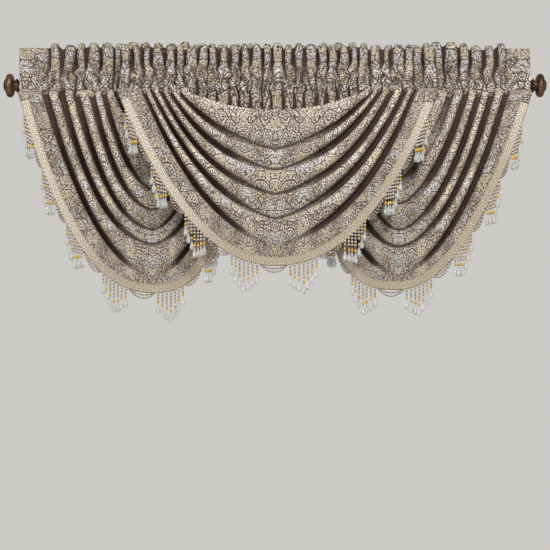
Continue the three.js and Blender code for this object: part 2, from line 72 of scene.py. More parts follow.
# A valance's folds hang lowest at low_x, and point is how pointed they are there. rim_open tells how open
# the valley below the free rim is, and rim_shade how dark its painted shade is, at the places of ALONG.
# cluster_shift moves the groups of strands along the hem, and braid_top has the heights of the braid's two
# ends. The flat ends of a heading are widths without pleats, and their creases have x and z of both ends
# and a half width.
VALANCES = {
    "left": {
        "rod_y": REAR_ROD_Y,
        "low_x": -0.367,
        "point": 0.12,
        "rim_open": (0.35, 0.6, 0.9, 1.0, 1.0, 1.0),
        "rim_shade": (0.2, 0.4, 0.8, 1.0, 1.0, 1.0),
        "cluster_shift": -0.033,
        "heading": {"left": -0.771, "right": -0.058, "flat_left": 0.084, "flat_right": 0.0, "pleats": 16},
        "header_top": 0.125,
        "braid_top": (-0.054, -0.056),
        "creases": [
            (-0.712, -0.036, -0.678, -0.004, 0.0040),
            (-0.771, -0.024, -0.727, 0.020, 0.0050),
            (-0.758, 0.012, -0.712, 0.036, 0.0035),
            (-0.734, 0.040, -0.716, 0.100, 0.0045),
        ],
        "lines": [
            (-0.486, -0.165, -0.250, 1.9, 2.0, 0.030, 0.016),
            (-0.515, -0.319, -0.226, 1.7, 1.9, 0.036, 0.022),
            (-0.552, -0.382, -0.199, 2.05, 1.9, 0.040, 0.022),
            (-0.599, -0.441, -0.170, 2.1, 1.9, 0.042, 0.020),
            (-0.643, -0.486, -0.140, 2.2, 2.3, 0.044, 0.018),
            (-0.692, -0.578, -0.106, 1.9, 2.2, 0.040, 0.012),
            (-0.771, -0.628, -0.062, 2.35, 3.0, 0.000, 0.000),
        ],
    },
    "centre": {
        "rod_y": FRONT_ROD_Y,
        "low_x": 0.001,
        "point": 0.32,
        "rim_open": (0.2, 0.2, 0.4, 0.9, 1.0, 1.0),
        "rim_shade": (0.0, 0.0, 0.10, 0.60, 1.0, 1.0),
        "cluster_shift": -0.005,
        "heading": {"left": -0.462, "right": 0.480, "flat_left": 0.0, "flat_right": 0.0, "pleats": 29},
        "header_top": 0.113,
        "braid_top": (-0.058, -0.070),
        "creases": [],
        "lines": [
            (-0.258, -0.091, 0.264, 2.25, 2.2, 0.030, 0.024),
            (-0.286, -0.205, 0.286, 1.7, 1.7, 0.032, 0.020),
            (-0.312, -0.267, 0.312, 2.0, 1.85, 0.034, 0.020),
            (-0.338, -0.339, 0.346, 1.95, 2.1, 0.036, 0.018),
            (-0.364, -0.411, 0.384, 1.75, 1.95, 0.038, 0.014),
            (-0.389, -0.492, 0.414, 1.7, 2.1, 0.036, 0.010),
            (-0.466, -0.547, 0.484, 2.2, 2.3, 0.000, 0.000),
        ],
    },
    "right": {
        "rod_y": REAR_ROD_Y,
        "low_x": 0.370,
        "point": 0.12,
        "rim_open": (0.35, 0.6, 0.9, 0.7, 0.5, 1.0),
        "rim_shade": (0.2, 0.4, 0.8, 0.5, 0.15, 1.0),
        "cluster_shift": -0.024,
        "heading": {"left": 0.058, "right": 0.770, "flat_left": 0.0, "flat_right": 0.074, "pleats": 17},
        "header_top": 0.124,
        "braid_top": (-0.056, -0.062),
        "creases": [
            (0.764, -0.012, 0.716, -0.036, 0.0050),
            (0.748, 0.022, 0.704, -0.014, 0.0045),
            (0.706, 0.030, 0.742, 0.040, 0.0035),
            (0.722, 0.046, 0.730, 0.096, 0.0045),
        ],
        "lines": [
            (0.248, -0.160, 0.494, 2.0, 1.75, 0.030, 0.016),
            (0.224, -0.290, 0.529, 1.9, 1.45, 0.036, 0.022),
            (0.198, -0.365, 0.574, 1.9, 1.8, 0.040, 0.022),
            (0.171, -0.443, 0.614, 1.8, 1.85, 0.042, 0.020),
            (0.140, -0.494, 0.653, 2.3, 1.95, 0.044, 0.018),
            (0.106, -0.574, 0.696, 2.5, 1.8, 0.042, 0.012),
            (0.062, -0.619, 0.772, 3.4, 2.0, 0.000, 0.000),
        ],
    },
}

# Swag: its cut, how far it stands in front of its rod and billows, and how its fold lines run
SWAG_IN_FRONT_OF_ROD = 0.025
RIM_BILLOW = 0.018
HEM_BILLOW = 0.008
LOW_ROUNDING = 0.15
POINT_ROUNDING = 0.05
POINT_POWER = 2.1
FULL_DEPTH_AT = 0.5
DRAWN_IN_FROM = 0.8
DRAWN_IN_LOSS = 0.6
# Folds are counted from the rim, and the crest of a whole fold is half a fold on
HEM_FOLD = 5
HEM_BAND = HEM_FOLD + 1
FIRST_CREST = 1.5
LAST_CREST = HEM_FOLD - 0.5
# Shares of a fold's width taken by its upper flank, its lower flank and the way down to its crest,
# at places along it from its lowest (0) to its sewn end (1), and the most that the flanks may take
ALONG = (0.0, 0.15, 0.30, 0.45, 0.65, 1.0)
UPPER_FLANK = (0.035, 0.04, 0.07, 0.12, 0.18, 0.23)
LOWER_FLANK = (0.10, 0.12, 0.18, 0.22, 0.24, 0.24)
CREST = (0.22, 0.22, 0.26, 0.32, 0.40, 0.50)
MOST_UPPER_FLANK = 0.45
MOST_LOWER_FLANK = 0.75
CREST_BREADTH_LOW = 0.7
CREST_FULL_AT = 0.5
# How open a valley is along it and how dark its painted shade, and the same for the one above the hem;
# each valance has its own for the valley below its rim
VALLEY_OPEN = (0.35, 0.5, 0.85, 1.0, 1.0, 1.0)
HEM_VALLEY_OPEN = (0.0, 0.3, 0.9, 1.0, 1.0, 1.0)
VALLEY_SHADE = (0.0, 0.12, 0.55, 0.95, 1.0, 1.0)
HEM_VALLEY_SHADE = (0.0, 0.20, 0.90, 1.0, 1.0, 1.0)
# Painted shade of the undersides and painted highlight of the crests along a fold, and the painted shades
# of the strip above the hem, of the headings and of their pockets: 1 is deep shade between folds, and
# below 0 is a painted highlight
UNDERSIDE_SHADE = (0.76, 0.74, 0.60, 0.36, 0.12, 0.04)
CREST_HIGHLIGHT = (0.0, 0.0, 0.06, 0.26, 0.42, 0.24)
CREST_SHARPNESS = 3
HEM_SHADE = 0.16
HEADING_SHADE = 0.15
POCKET_SHADE = -0.18
# Lifts, from valley (0) to crest (1), where the painted shade of undersides and valleys begins,
# and how fast it deepens
UNDERSIDE_BELOW = 0.97
UNDERSIDE_FADE = 0.65
VALLEY_BELOW = 0.45
VALLEY_FADE = 0.22
# Steps along a half and across the parts of a swag
SIDE_STATIONS = 88
RIM_STEPS = 16
PIPE_STEPS = 24
HEM_STEPS = 14
BAND_STEPS = 4
# Domed tops where the folds are sewn, and the rim's roll and facing
SEWN_TO_ROD = 0.021
DOME_STEPS = 5
DOME_RISE = 0.004
DOME_RIDGE_RISE = 0.013
DOME_SPACING = 18
DOME_UNEVENNESS = 0.7
ROLL_RADIUS = 0.0032
ROLL_STEPS = 6
RIM_SLOPE_ROW = 3
FACING_WIDTH = 0.020
FACING_STEPS = 2

# Heading: its cuts, pleats, flat ends, header and skirt
PLEAT_UNEVENNESS = 0.2
PLEAT_RHYTHM = 2.3
PLEAT_ROUNDNESS = 0.75
PLEAT_STEPS = 14
FLAT_STEPS = 20
FLAT_GATHER = 0.4
FLAT_LEVEL_TO = 0.75
FLAT_END_DROP = 0.014
FLAT_HEADER_FORWARD = 0.008
FLAT_FORWARD_FROM = 0.005
FLAT_FORWARD_FADE = 0.035
HEADER_UNEVENNESS = 0.007
HEADER_ROUNDING = 0.006
GAP_DROP = 0.013
SEAM_UNEVENNESS = 0.014
SKIRT_BOTTOM_END = -0.038
SKIRT_BOTTOM_MIDDLE = -0.122
SKIRT_OVERLAP = 0.060
SKIRT_SLOPE = 0.110

# Section of a heading around its rod from the skirt up the front, over the top and down the back.
# Columns: y from the rod's axis, z, depth of the gathers, share of a pleat taken by half its gap,
# darkness of the painted shade in the gaps, steps to the next row
HEADING_PATH = [
    (-0.0130, "skirt", 0.010, 0.27, 1.00, 4),
    (-0.0135, "half skirt", 0.011, 0.20, 1.00, 4),
    (-0.0140, SEAM_Z, 0.009, 0.11, 1.00, 9),
    (-0.0195, -0.014, 0.009, 0.06, 0.62, 10),
    (-0.0200, 0.014, 0.009, 0.06, 0.62, 9),
    (-0.0100, 0.035, 0.010, 0.09, 0.90, 5),
    (-0.0045, 0.058, 0.022, 0.15, 1.00, 5),
    (-0.0040, 0.090, 0.023, 0.16, 1.00, 5),
    (-0.0040, "header", 0.020, 0.19, 1.00, 4),
    (-0.0025, "header fold", 0.011, 0.20, 0.95, 4),
    (-0.0010, "header", 0.009, 0.18, 0.90, 3),
    (-0.0010, 0.058, 0.012, 0.16, 0.90, 3),
    (-0.0050, 0.035, 0.004, 0.10, 0.80, 3),
    (0.0215, 0.014, -0.004, 0.10, 0.40, 3),
    (0.0215, -0.013, -0.004, 0.10, 0.40, 3),
    (-0.0110, SEAM_Z, 0.005, 0.10, 0.40, 1),
]
# Heights between which the pocket lies and above which the header does, with the way over which each
# fades, and the front of the pocket
POCKET_BOTTOM = -0.05
POCKET_BOTTOM_FADE = 0.03
POCKET_TOP = 0.055
POCKET_TOP_FADE = 0.02
HEADER_BOTTOM = 0.03
HEADER_BOTTOM_FADE = 0.03
POCKET_FRONT_Y = -0.006
# How far gaps wander sideways in the pocket and in the header, how their widths, their painted shades and
# the depths of the gathers vary, and the lifts where the painted shade of the gaps begins
POCKET_WANDER = 0.008
HEADER_WANDER = 0.0065
GAP_VARIETY = 0.75
GAP_SHADE_LOSS = 0.7
GATHER_VARIETY = 0.3
GAP_BELOW = 0.66
GAP_FADE = 0.45
# Puckers of the pocket, the swells on them, the painted shade along the lines between them and of
# crinkles that the surface doesn't have, and creases of the flat ends with their painted shade
PUCKERS_A_PLEAT = 2.3
PUCKERS_AT_ENDS = 2
PUCKER_JITTER = 0.35
PUCKER_HEIGHTS = (-0.032, 0.034)
PUCKER_STRETCH = 0.55
PUCKER_DEPTH = 0.010
PUCKER_SOFTNESS = 0.009
PUCKER_SWELL = 0.3
FLAT_PUCKERS = 0.35
PUCKER_LINE = 0.0034
PUCKER_LINE_SHADE = 0.95
FLAT_LINE_SHADE = 0.45
CRINKLE_ABOVE = 0.22
CRINKLE_FADE = 0.35
CRINKLE_SHADE = 0.62
CREASE_DEPTH = 0.0060
CREASE_AT_ENDS = 0.35
CREASE_SHADE = 0.8
# Random unevenness of a heading: its kinds, steps from pleat to pleat on the lattice, and sizes of lumps
(IN_HEADER, IN_SWELLS, IN_GATHERS, IN_TOP, IN_POCKET, IN_SEAM, IN_GAPS, IN_PUCKERS, IN_SHADES,
 IN_CRINKLES) = range(10)
TOP_STEP = 0.77
TOP_START = 0.4
GAP_STEP = 0.87
GAP_START = 0.3
GATHER_STEP = 0.71
SEAM_LUMP = 0.031
HEADER_LUMP = 0.070
POCKET_LUMP = 0.019
GAP_LUMP = 0.050
SHADE_LUMP = 0.030
GATHER_LUMP = 0.08
SWELL_LUMP = (0.011, 0.016)
CRINKLE_LUMP = (0.0062, 0.0095)
# Slit in the back of the pocket on the front rod, where the bracket's arms come through
SLIT_HALF_WIDTH = 0.042
SLIT_HALF_HEIGHT = 0.017
SLIT_BEHIND_AXIS = 0.010

# Braid: its size, its picots, and its chain and cords as shares of its width and height
HEM_SAMPLES = 4001
BRAID_WIDTH = 0.025
BRAID_OFF_CLOTH = 0.0012
BRAID_HEIGHT = 0.0026
BRAID_THICKNESS = BRAID_HEIGHT / 2
BRAID_STATIONS = 900
BRAID_ROWS = 12
PICOT_PITCH = 0.0062
PICOT_REACH = 0.0016
PICOT_DROP = 0.25
CHAIN_PITCH = 0.0130
CHAIN_HALF_WIDTH = 0.16
CHAIN_RISE = 0.35
CHAIN_BEAT = 0.4
CORD_OFF_MIDDLE = 0.36
CORD_HALF_WIDTH = 0.07
CORD_RISE = 0.45
CORD_TWIST = 0.35
BRAID_GROUND = 0.45

# Bead fringe. The first bead of a strand and the room above its amber bead are counted in bead pitches
CLUSTERS = 8
CLUSTER_PITCH = 0.181
STRAND_SPACING = 0.0135
STRAND_STAGGER = 0.007
STRAND_SWAY = 0.02
STRAND_LENGTHS = (0.064, 0.076, 0.086, 0.097, 0.088, 0.074, 0.062)
ROOT_INSET = 0.0015
BEAD_PITCH = 0.0098
FIRST_BEAD = 0.1
ROOM_ABOVE_AMBER = 0.75
LOOP_SAGS = (0.014, 0.024)
LOOP_SLACK = 1.2
LOOP_BEAD_PITCH = 0.0050
LOOP_BEAD_SIZE = 0.62

# Bead outlines from top to bottom. Columns: radius, distance below the top
SMALL_BEAD = [(0.0, 0.0), (0.0030, 0.0006), (0.0041, 0.0034), (0.0030, 0.0062), (0.0, 0.0068)]
SPACER = [(0.0, 0.0), (0.0023, 0.0003), (0.0023, 0.0027), (0.0, 0.0030)]
AMBER_BEAD = [
    (0.0, 0.0), (0.0022, 0.0004), (0.0028, 0.0022), (0.0036, 0.0050), (0.0037, 0.0076), (0.0029, 0.0104),
    (0.0, 0.0116),
]
CLEAR_DROP = [
    (0.0, 0.0), (0.0016, 0.0010), (0.0026, 0.0060), (0.0050, 0.0140), (0.0067, 0.0215), (0.0054, 0.0272),
    (0.0024, 0.0300), (0.0, 0.0306),
]
SMALL_LENGTH = SMALL_BEAD[-1][1]
AMBER_LENGTH = AMBER_BEAD[-1][1]
DROP_LENGTH = CLEAR_DROP[-1][1]
# Place of the drops, which are faceted, among the finishes of the fringe
DROP_FINISH = 3

# Turned hardware. Columns: radius, distance out from the rod's end
FINIAL_PROFILE = [
    (0.0, 0.0), (0.0190, 0.0), (0.0206, 0.0012), (0.0206, 0.0042), (0.0192, 0.0056), (0.0158, 0.0062),
    (0.0156, 0.0108), (0.0190, 0.0122), (0.0268, 0.0130), (0.0328, 0.0162), (0.0355, 0.0208),
    (0.0360, 0.0245), (0.0352, 0.0285), (0.0322, 0.0325), (0.0268, 0.0350), (0.0204, 0.0358),
    (0.0186, 0.0368), (0.0172, 0.0388), (0.0166, 0.0404), (0.0120, 0.0424), (0.0, 0.0430),
]
TURNED_SIDES = 64
ROD_RADIUS = 0.016
ROD_EDGE = 0.0008
# Finishes of the hardware: name, brightness
ROD_BRONZE = ("dull_rod_bronze", 0.5)
FINIAL_BRONZE = ("rubbed_turned_bronze", 1.0)

# Pattern of the cloth. Shares of the way into the folds, and of that along and around the gathers, which
# it follows, and its tone under the painted shade deep between the folds
FOLD_TAKE_UP = 0.5
HEADING_PATTERN = (0.80, 1.00)
DEEP_TONE = 0.06
# Paisley figures in mirrored rows: where they lie, how uneven they are, and how a figure's tip bends,
# from where to where along the figure it narrows, and by how much
HALF_REPEAT = 0.094
ROW_HEIGHT = 0.150
ROW_BELOW_RIM = 0.040
WOBBLE = 0.016
WOBBLES_A_METRE = (30.0, 34.0)
FIGURE_X = 0.046
FIGURE_HALF_WIDTH = 0.033
FIGURE_HALF_LENGTH = 0.056
TIP_BEND = 8.0
TIP_NARROWS = (-0.026, 0.060)
TIP_LOSS = 0.80
# Lines of a figure in shares of its size: place, half width, soft edge. Beads and petals go around a
# centre that lies off its middle, away from the tip
RIM_LINE = (1.0, 0.028, 0.02)
BEAD_LINE = (0.84, 0.05, 0.02)
PETAL_LINE = (0.62, 0.030, 0.02)
HEART_LINE = (0.34, 0.034, 0.03)
OUTER_BEAD_LINE = (1.15, 0.04, 0.03)
BEADS_AROUND = 26.0
PETALS_AROUND = 9.0
CENTRE_OFF_MIDDLE = 0.018
# Patches of the ground, so many a metre. The random value of a patch makes it golden, blue-grey, starred
# or curled, and its border has a dark line and a pale one
PATCHES = 29.0
GOLDEN_BELOW = (0.31, 0.29)
BLUISH_NEAR = (0.43, 0.12, 0.02)
STARRED_NEAR = (0.67, 0.11, 0.02)
CURLED_ABOVE = (0.79, 0.81)
BORDER_DARK = (0.0017, 0.0009)
BORDER_PALE = (0.0036, 0.0012, 0.0006)
# What is drawn on the patches: how many a metre, size
DOTS = (84.0, 0.0019)
DOT_FADES = (1.3, 0.8)
STIPPLE = (140.0, 0.0022)
CURLS = (50.0, 0.0082)
CURL_LINE = (0.5, 0.20, 0.05)
ROSETTES = 34.0
ROSETTE_RING = 0.0062
ROSETTE_RAYS = 10.0
# Threads of the cloth and of the braid, and slubs: how many a metre, stretch and range of the noise
CLOTH_THREAD = 0.0014
BRAID_THREAD = 0.0010
SLUBS = 290.0
SLUB_STRETCH = 0.8
SLUB_RANGE = (0.31, 0.60)
# Tones of the slubs in the cloth and in the braid: contrast, middle
CLOTH_TONE = (0.70, 0.81)
BRAID_TONE = (0.30, 0.88)
CLOTH_RELIEF = 0.0004
BRAID_RELIEF = 0.0005
# Shares of the painted shading that the face of the cloth and its reverse show
FACE_SHADING = 0.97
REVERSE_SHADING = 0.25
# Yarns of the braid in metres off its middle, and along it the stretch of painted shade that turns it
# beige: place, half width, soft edge
PICOT_EDGE = (0.0098, 0.0106)
CORD_YARN = (0.0082, 0.0014, 0.0005)
CHAIN_RING = (0.0042, 0.0010, 0.0006)
LOW_SHADE_STRETCH = (0.16, 0.28, 0.28)
# Streaks of the glass, wear and hammering of the bronze and mottle of the floor: how many a metre
STREAKS = 220.0
WEAR = 46.0
HAMMERING = 310.0
MOTTLE = 6.0
HAMMERED_RELIEF = 0.0003
GLASS_IOR = 1.5

# Stage: the plane that the camera is set for, the floor, and the room as it lights and as it is seen
VIEW_PLANE_Y = -0.12
SENSOR_WIDTH = 36.0
FLOOR_HALF = 3.0
FLOOR_COLOURS = ((0.74, 0.73, 0.71), (0.80, 0.79, 0.77))
ROOM_COLOUR = (1.0, 0.985, 0.955, 1.0)
ROOM_LIGHT = 0.38
ROOM_SEEN = 0.60
# Lights: place, size, power
LIGHT_TARGET = (0.0, VIEW_PLANE_Y, -0.3)
LIGHTS = {
    "key": ((0.9, -3.4, 2.0), 1.2, 144.0),
    "fill": ((-2.2, -3.0, 0.4), 2.0, 45.0),
}


def colour_setting(name, description, default):
    """Colour that a user can change."""
    return bpy.props.FloatVectorProperty(
        name=name, description=description, subtype="COLOR", default=default)


class ClothSettings(bpy.types.PropertyGroup):
    """Cloth of the swags and headings"""

    thickness: bpy.props.FloatProperty(
        name="Thickness", description="Thickness of the woven cloth", default=0.0014, min=0.0005,
        unit="LENGTH")
    ground: colour_setting("Ground", "Beige ground of the weave", (0.392, 0.330, 0.268))
    pale: colour_setting("Pale", "Palest yarn", (0.445, 0.392, 0.326))
    cool: colour_setting("Blue-grey", "Blue-grey yarn", (0.392, 0.366, 0.354))
    warm: colour_setting("Gold", "Pale gold yarn", (0.382, 0.322, 0.238))
    outline: colour_setting("Outline", "Dark brown yarn", (0.042, 0.026, 0.021))
    # Painted shade: the colour that stands for the shade deep between the folds
    painted_shading: colour_setting("Hollow", "Colour deep between the folds", (0.096, 0.041, 0.033))


class TrimSettings(bpy.types.PropertyGroup):
    """Braid and beads"""

    braid: colour_setting("Braid", "Cream yarn of the braid", (0.680, 0.625, 0.515))
    # Painted shade: the braid turns to this beige towards its lowest place
    golden: colour_setting("Low braid", "Beige yarn at the lowest place", (0.450, 0.385, 0.275))
    picot: colour_setting("Picot", "Golden yarn of the braid's edges", (0.160, 0.095, 0.040))
    stripe: colour_setting("Stripe", "Golden yarn beside the braid's edges", (0.34, 0.24, 0.12))
    ring: colour_setting("Ring", "Grey yarn of the braid's rings", (0.24, 0.20, 0.17))
    small_bead: colour_setting("Small beads", "Pale glass of the strings", (0.640, 0.550, 0.470))
    spacer: colour_setting("Spacers", "Dark metal between the beads", (0.170, 0.120, 0.095))
    amber: colour_setting("Amber", "Amber glass above the drops", (0.740, 0.480, 0.090))
    drop: colour_setting("Drops", "Clear glass of the drops", (0.97, 0.97, 0.95))
    bead_sides: bpy.props.IntProperty(
        name="Bead sides", description="Facets around a bead", default=8, min=5, max=16)


class HardwareSettings(bpy.types.PropertyGroup):
    """Rods, finials and brackets"""

    bronze: colour_setting("Bronze", "Rubbed bronze of the finials", (0.160, 0.082, 0.044))
    dark: colour_setting("Dark bronze", "Bronze in the hollows", (0.024, 0.012, 0.007))


class StageSettings(bpy.types.PropertyGroup):
    """Camera, light and floor"""

    distance: bpy.props.FloatProperty(
        name="Camera distance", description="From the camera to the swags", default=4.6, unit="LENGTH")
    half_view: bpy.props.FloatProperty(
        name="Half view", description="Half the width seen at the swags", default=0.825, unit="LENGTH")
    centre_z: bpy.props.FloatProperty(
        name="View height", description="Height of the picture's centre", default=-0.5745, unit="LENGTH")
    floor_z: bpy.props.FloatProperty(
        name="Floor", description="Height of the floor", default=-2.1, unit="LENGTH")


class Shape(NamedTuple):
    """Points with faces of four and of three corners"""

    points: np.ndarray
    quads: np.ndarray
    triangles: np.ndarray


NO_TRIANGLES = np.zeros((0, 3), int)


def smooth(value):
    """Rises from 0 to 1 as the value does, level at both ends: 3 t squared less 2 t cubed."""
    t = np.clip(value, 0.0, 1.0)
    return t * t * (3 - 2 * t)


def wander(across, along, seed):
    """Smooth unevenness from -1 to 1: random values on a lattice, blended between its corners."""
    size = 61
    table = np.random.default_rng(seed).uniform(-1, 1, (size, size))
    i = np.floor(across).astype(int)
    j = np.floor(along).astype(int)
    p = smooth(across - i)
    q = smooth(along - j)
    low = table[i % size, j % size] * (1 - p) + table[(i + 1) % size, j % size] * p
    high = table[i % size, (j + 1) % size] * (1 - p) + table[(i + 1) % size, (j + 1) % size] * p
    return low * (1 - q) + high * q


def grid_quads(rows, columns, closed=False):
    """Corners of the cells of a grid of points stored row by row.

    Closed joins the last column to the first.
    """
    i = np.arange(rows - 1)[:, None]
    j = np.arange(columns if closed else columns - 1)[None, :]
    after = (j + 1) % columns
    corners = [i * columns + j, (i + 1) * columns + j, (i + 1) * columns + after, i * columns + after]
    return np.stack(np.broadcast_arrays(*corners), axis=-1).reshape(-1, 4)


def turned(profile, sides):
    """Shape turned about -z: rings of the profile's inner points, and a point at each end on the axis."""
    radius, below = np.array(profile).T
    angle = np.arange(sides) * 2 * np.pi / sides
    ring = np.stack([np.cos(angle), np.sin(angle)], axis=-1)
    rings = len(radius) - 2
    inner = np.empty((rings, sides, 3))
    inner[..., :2] = radius[1:-1, None, None] * ring
    inner[..., 2] = -below[1:-1, None]
    ends = np.array([[0, 0, -below[0]], [0, 0, -below[-1]]])
    points = np.concatenate([inner.reshape(-1, 3), ends])
    around = np.arange(sides)
    after = (around + 1) % sides
    top = np.full(sides, rings * sides)
    last = (rings - 1) * sides
    upper = np.stack([top, around, after], axis=-1)
    lower = np.stack([top + 1, last + after, last + around], axis=-1)
    return Shape(points, grid_quads(rings, sides, closed=True), np.concatenate([upper, lower]))


def repeated(shape, places, frames):
    """Copies of a shape, each turned and sized by its own three by three frame and moved to its place."""
    count = len(shape.points)
    points = places[:, None, :] + np.einsum("nij,vj->nvi", frames, shape.points)
    offset = (np.arange(len(places)) * count)[:, None, None]
    quads = (shape.quads[None] + offset).reshape(-1, 4)
    triangles = (shape.triangles[None] + offset).reshape(-1, 3)
    return Shape(points.reshape(-1, 3), quads, triangles)


def put_mesh(name, shapes, materials, uv=None, attributes=None, flat_shaded=()):
    """One piece made of shapes, one material for each, joined in order."""
    starts = np.cumsum([0] + [len(shape.points) for shape in shapes])
    faces = []
    slots = []
    softness = []
    for index, shape in enumerate(shapes):
        made = (shape.quads + starts[index]).tolist() + (shape.triangles + starts[index]).tolist()
        faces += made
        slots += [index] * len(made)
        softness += [index not in flat_shaded] * len(made)
    mesh = bpy.data.meshes.new(name)
    mesh.from_pydata(np.concatenate([shape.points for shape in shapes]).tolist(), [], faces)
    mesh.polygons.foreach_set("material_index", slots)
    mesh.polygons.foreach_set("use_smooth", softness)
    if uv is not None:
        layer = mesh.uv_layers.new(name="cloth")
        corners = np.empty(len(mesh.loops), int)
        mesh.loops.foreach_get("vertex_index", corners)
        layer.data.foreach_set("uv", uv.reshape(-1, 2)[corners].ravel())
    for label, values in (attributes or {}).items():
        mesh.attributes.new(label, "FLOAT", "POINT").data.foreach_set("value", values.ravel())
    for material in materials:
        mesh.materials.append(material)
    piece = bpy.data.objects.new(name, mesh)
    bpy.context.scene.collection.objects.link(piece)
    return piece


def thicken(piece, thickness):
    """Gives a sheet its thickness, behind the face that looks into the room."""
    solidify = piece.modifiers.new("thickness", "SOLIDIFY")
    solidify.thickness = thickness
    solidify.offset = -1.0
    solidify.material_offset = len(piece.data.materials) - 1


def arc_lengths(points, axis):
    """Distance walked along one axis of a grid of points, from its first row or column."""
    steps = np.linalg.norm(np.diff(points, axis=axis), axis=-1)
    walked = np.cumsum(steps, axis=axis)
    start = np.zeros_like(np.take(walked, [0], axis=axis))
    return np.concatenate([start, walked], axis=axis)


def climb(s, power, rounding=LOW_ROUNDING):
    """Height of a fold line as a share of its rise: a power curve, rounded near its lowest place."""
    low = rounding ** power
    rounded = (s * s + rounding ** 2) ** (power / 2)
    full = (1 + rounding ** 2) ** (power / 2)
    return (rounded - low) / (full - low)


def pointed_climb(s, power, point):
    """As climb, with a share of it straight, so that folds come to a soft point at their lowest place."""
    return (1 - point) * climb(s, power + POINT_POWER * point) + point * climb(s, 1.0, POINT_ROUNDING)


def fold_lines(valance, u):
    """Fold lines as arrays of x and z with a row for each: rim, valleys, braid's upper edge, lower edge.

    Along each line x goes out evenly with s, the sine of u's quarter turn, and z climbs as pointed_climb
    says. The braid's upper edge lies the braid's width in from the lower edge, at right angles to it.
    """
    s = np.sin(np.pi / 2 * np.abs(u))
    lines = np.array(valance["lines"])
    left = (u < 0)[None, :]
    end_x = np.where(left, lines[:, [LEFT_X]], lines[:, [RIGHT_X]])
    power = np.where(left, lines[:, [LEFT_POWER]], lines[:, [RIGHT_POWER]])
    low_z = lines[:, [LOW_Z]]
    x = valance["low_x"] + (end_x - valance["low_x"]) * s
    point = np.full((len(lines), 1), valance["point"])
    point[[0, -1]] = 0
    z = low_z + (SWAG_TOP_Z - low_z) * pointed_climb(s, power, point)
    run = np.gradient(x[-1])
    rise = np.gradient(z[-1])
    length = np.hypot(run, rise)
    braid_x = x[-1] - BRAID_WIDTH * rise / length
    braid_z = np.minimum(z[-1] + BRAID_WIDTH * run / length, SWAG_TOP_Z)
    return np.vstack([x[:-1], braid_x, x[-1:]]), np.vstack([z[:-1], braid_z, z[-1:]])


def fold_section(t, start, crest, end):
    """Way across a fold as it turns from valley (t 0) over its crest (t 0.5) to the next valley (t 1).

    At both flanks, t 0.25 and 0.75, the way stands still while the depth goes on, so they are steep.
    """
    turn = 2 * np.pi * t
    rising = start * np.sin(turn)
    to_crest = start + (crest - start) * (1 - np.sin(turn))
    from_crest = crest - (end - crest) * np.sin(turn)
    falling = end + (1 - end) * (1 - np.cos(turn - 1.5 * np.pi))
    return np.select([t < 0.25, t < 0.5, t < 0.75], [rising, to_crest, from_crest], falling)


def swag_rows():
    """Rows across a swag from rim to lower edge, as fold numbers and turns; in the hem band, shares."""
    rim = [(0, t) for t in np.linspace(0.5, 1, RIM_STEPS, endpoint=False)]
    pipes = [(k, t) for k in range(1, HEM_FOLD) for t in np.linspace(0, 1, PIPE_STEPS, endpoint=False)]
    hem = [(HEM_FOLD, t) for t in np.linspace(0, 0.5, HEM_STEPS, endpoint=False)]
    band = [(HEM_BAND, t) for t in np.linspace(0, 1, BAND_STEPS + 1)]
    fold, turn = np.array(rim + pipes + hem + band).T
    return fold.astype(int), turn[:, None]


def across_folds(s, fold, turn, width):
    """Way across its fold of each point, from 0 on the fold's upper line to 1 on its lower one.

    The flanks beside a valley take their shares of the mean width of the two folds that meet there, and
    the crest lies at its own share between them. In the hem band the way is the row's share.
    """
    pipe = width[1:HEM_FOLD]
    between = np.vstack([pipe[0], (pipe[:-1] + pipe[1:]) / 2, pipe[-1]])
    none = np.zeros_like(s)
    above = np.vstack([none, np.interp(s, ALONG, UPPER_FLANK) * between, none])
    below = np.vstack([np.interp(s, ALONG, LOWER_FLANK) * between, none, none])
    start = np.minimum(above / width, MOST_UPPER_FLANK)
    end = 1 - np.minimum(below / width, MOST_LOWER_FLANK)
    crest = start + (end - start) * np.interp(s, ALONG, CREST)
    crest[0] = 0
    crest[HEM_FOLD:] = 1
    way = fold_section(turn, start[fold], crest[fold], end[fold])
    return np.where((fold == HEM_BAND)[:, None], turn, way)


def along_valley(s, place, plain, rim, hem):
    """Shares along the valleys: rim for the one below the rim, hem for the one above the hem, or plain."""
    plain, rim, hem = (np.interp(s, ALONG, shares) for shares in (plain, rim, hem))
    return np.where(place > LAST_CREST, hem, np.where(place < FIRST_CREST, rim, plain))


def fold_painted_shading(valance, s, fold, turn, lift):
    """Painted shading of each point: 1 is painted shade deep between folds, below 0 a painted highlight.

    Painted shade darkens the valleys as the lift falls, and the undersides, which face down, past the
    crest. A painted highlight on a crest grows with a power of its lift, and the strip above the hem has a
    painted shade of its own.
    """
    place = fold[:, None] + turn
    underside = np.interp(s, ALONG, UNDERSIDE_SHADE) * smooth((UNDERSIDE_BELOW - lift) / UNDERSIDE_FADE)
    underside = np.where(turn > 0.5, underside, 0)
    underside *= np.where(place > LAST_CREST, np.interp(s, ALONG, HEM_VALLEY_SHADE), 1)
    valley = smooth((VALLEY_BELOW - lift) / VALLEY_FADE)
    valley *= along_valley(s, place, VALLEY_SHADE, valance["rim_shade"], HEM_VALLEY_SHADE)
    painted_shading = np.maximum(valley, underside)
    highlighted = painted_shading - np.interp(s, ALONG, CREST_HIGHLIGHT) * lift ** CREST_SHARPNESS
    return np.where((fold < HEM_FOLD)[:, None], highlighted, np.maximum(painted_shading, HEM_SHADE))


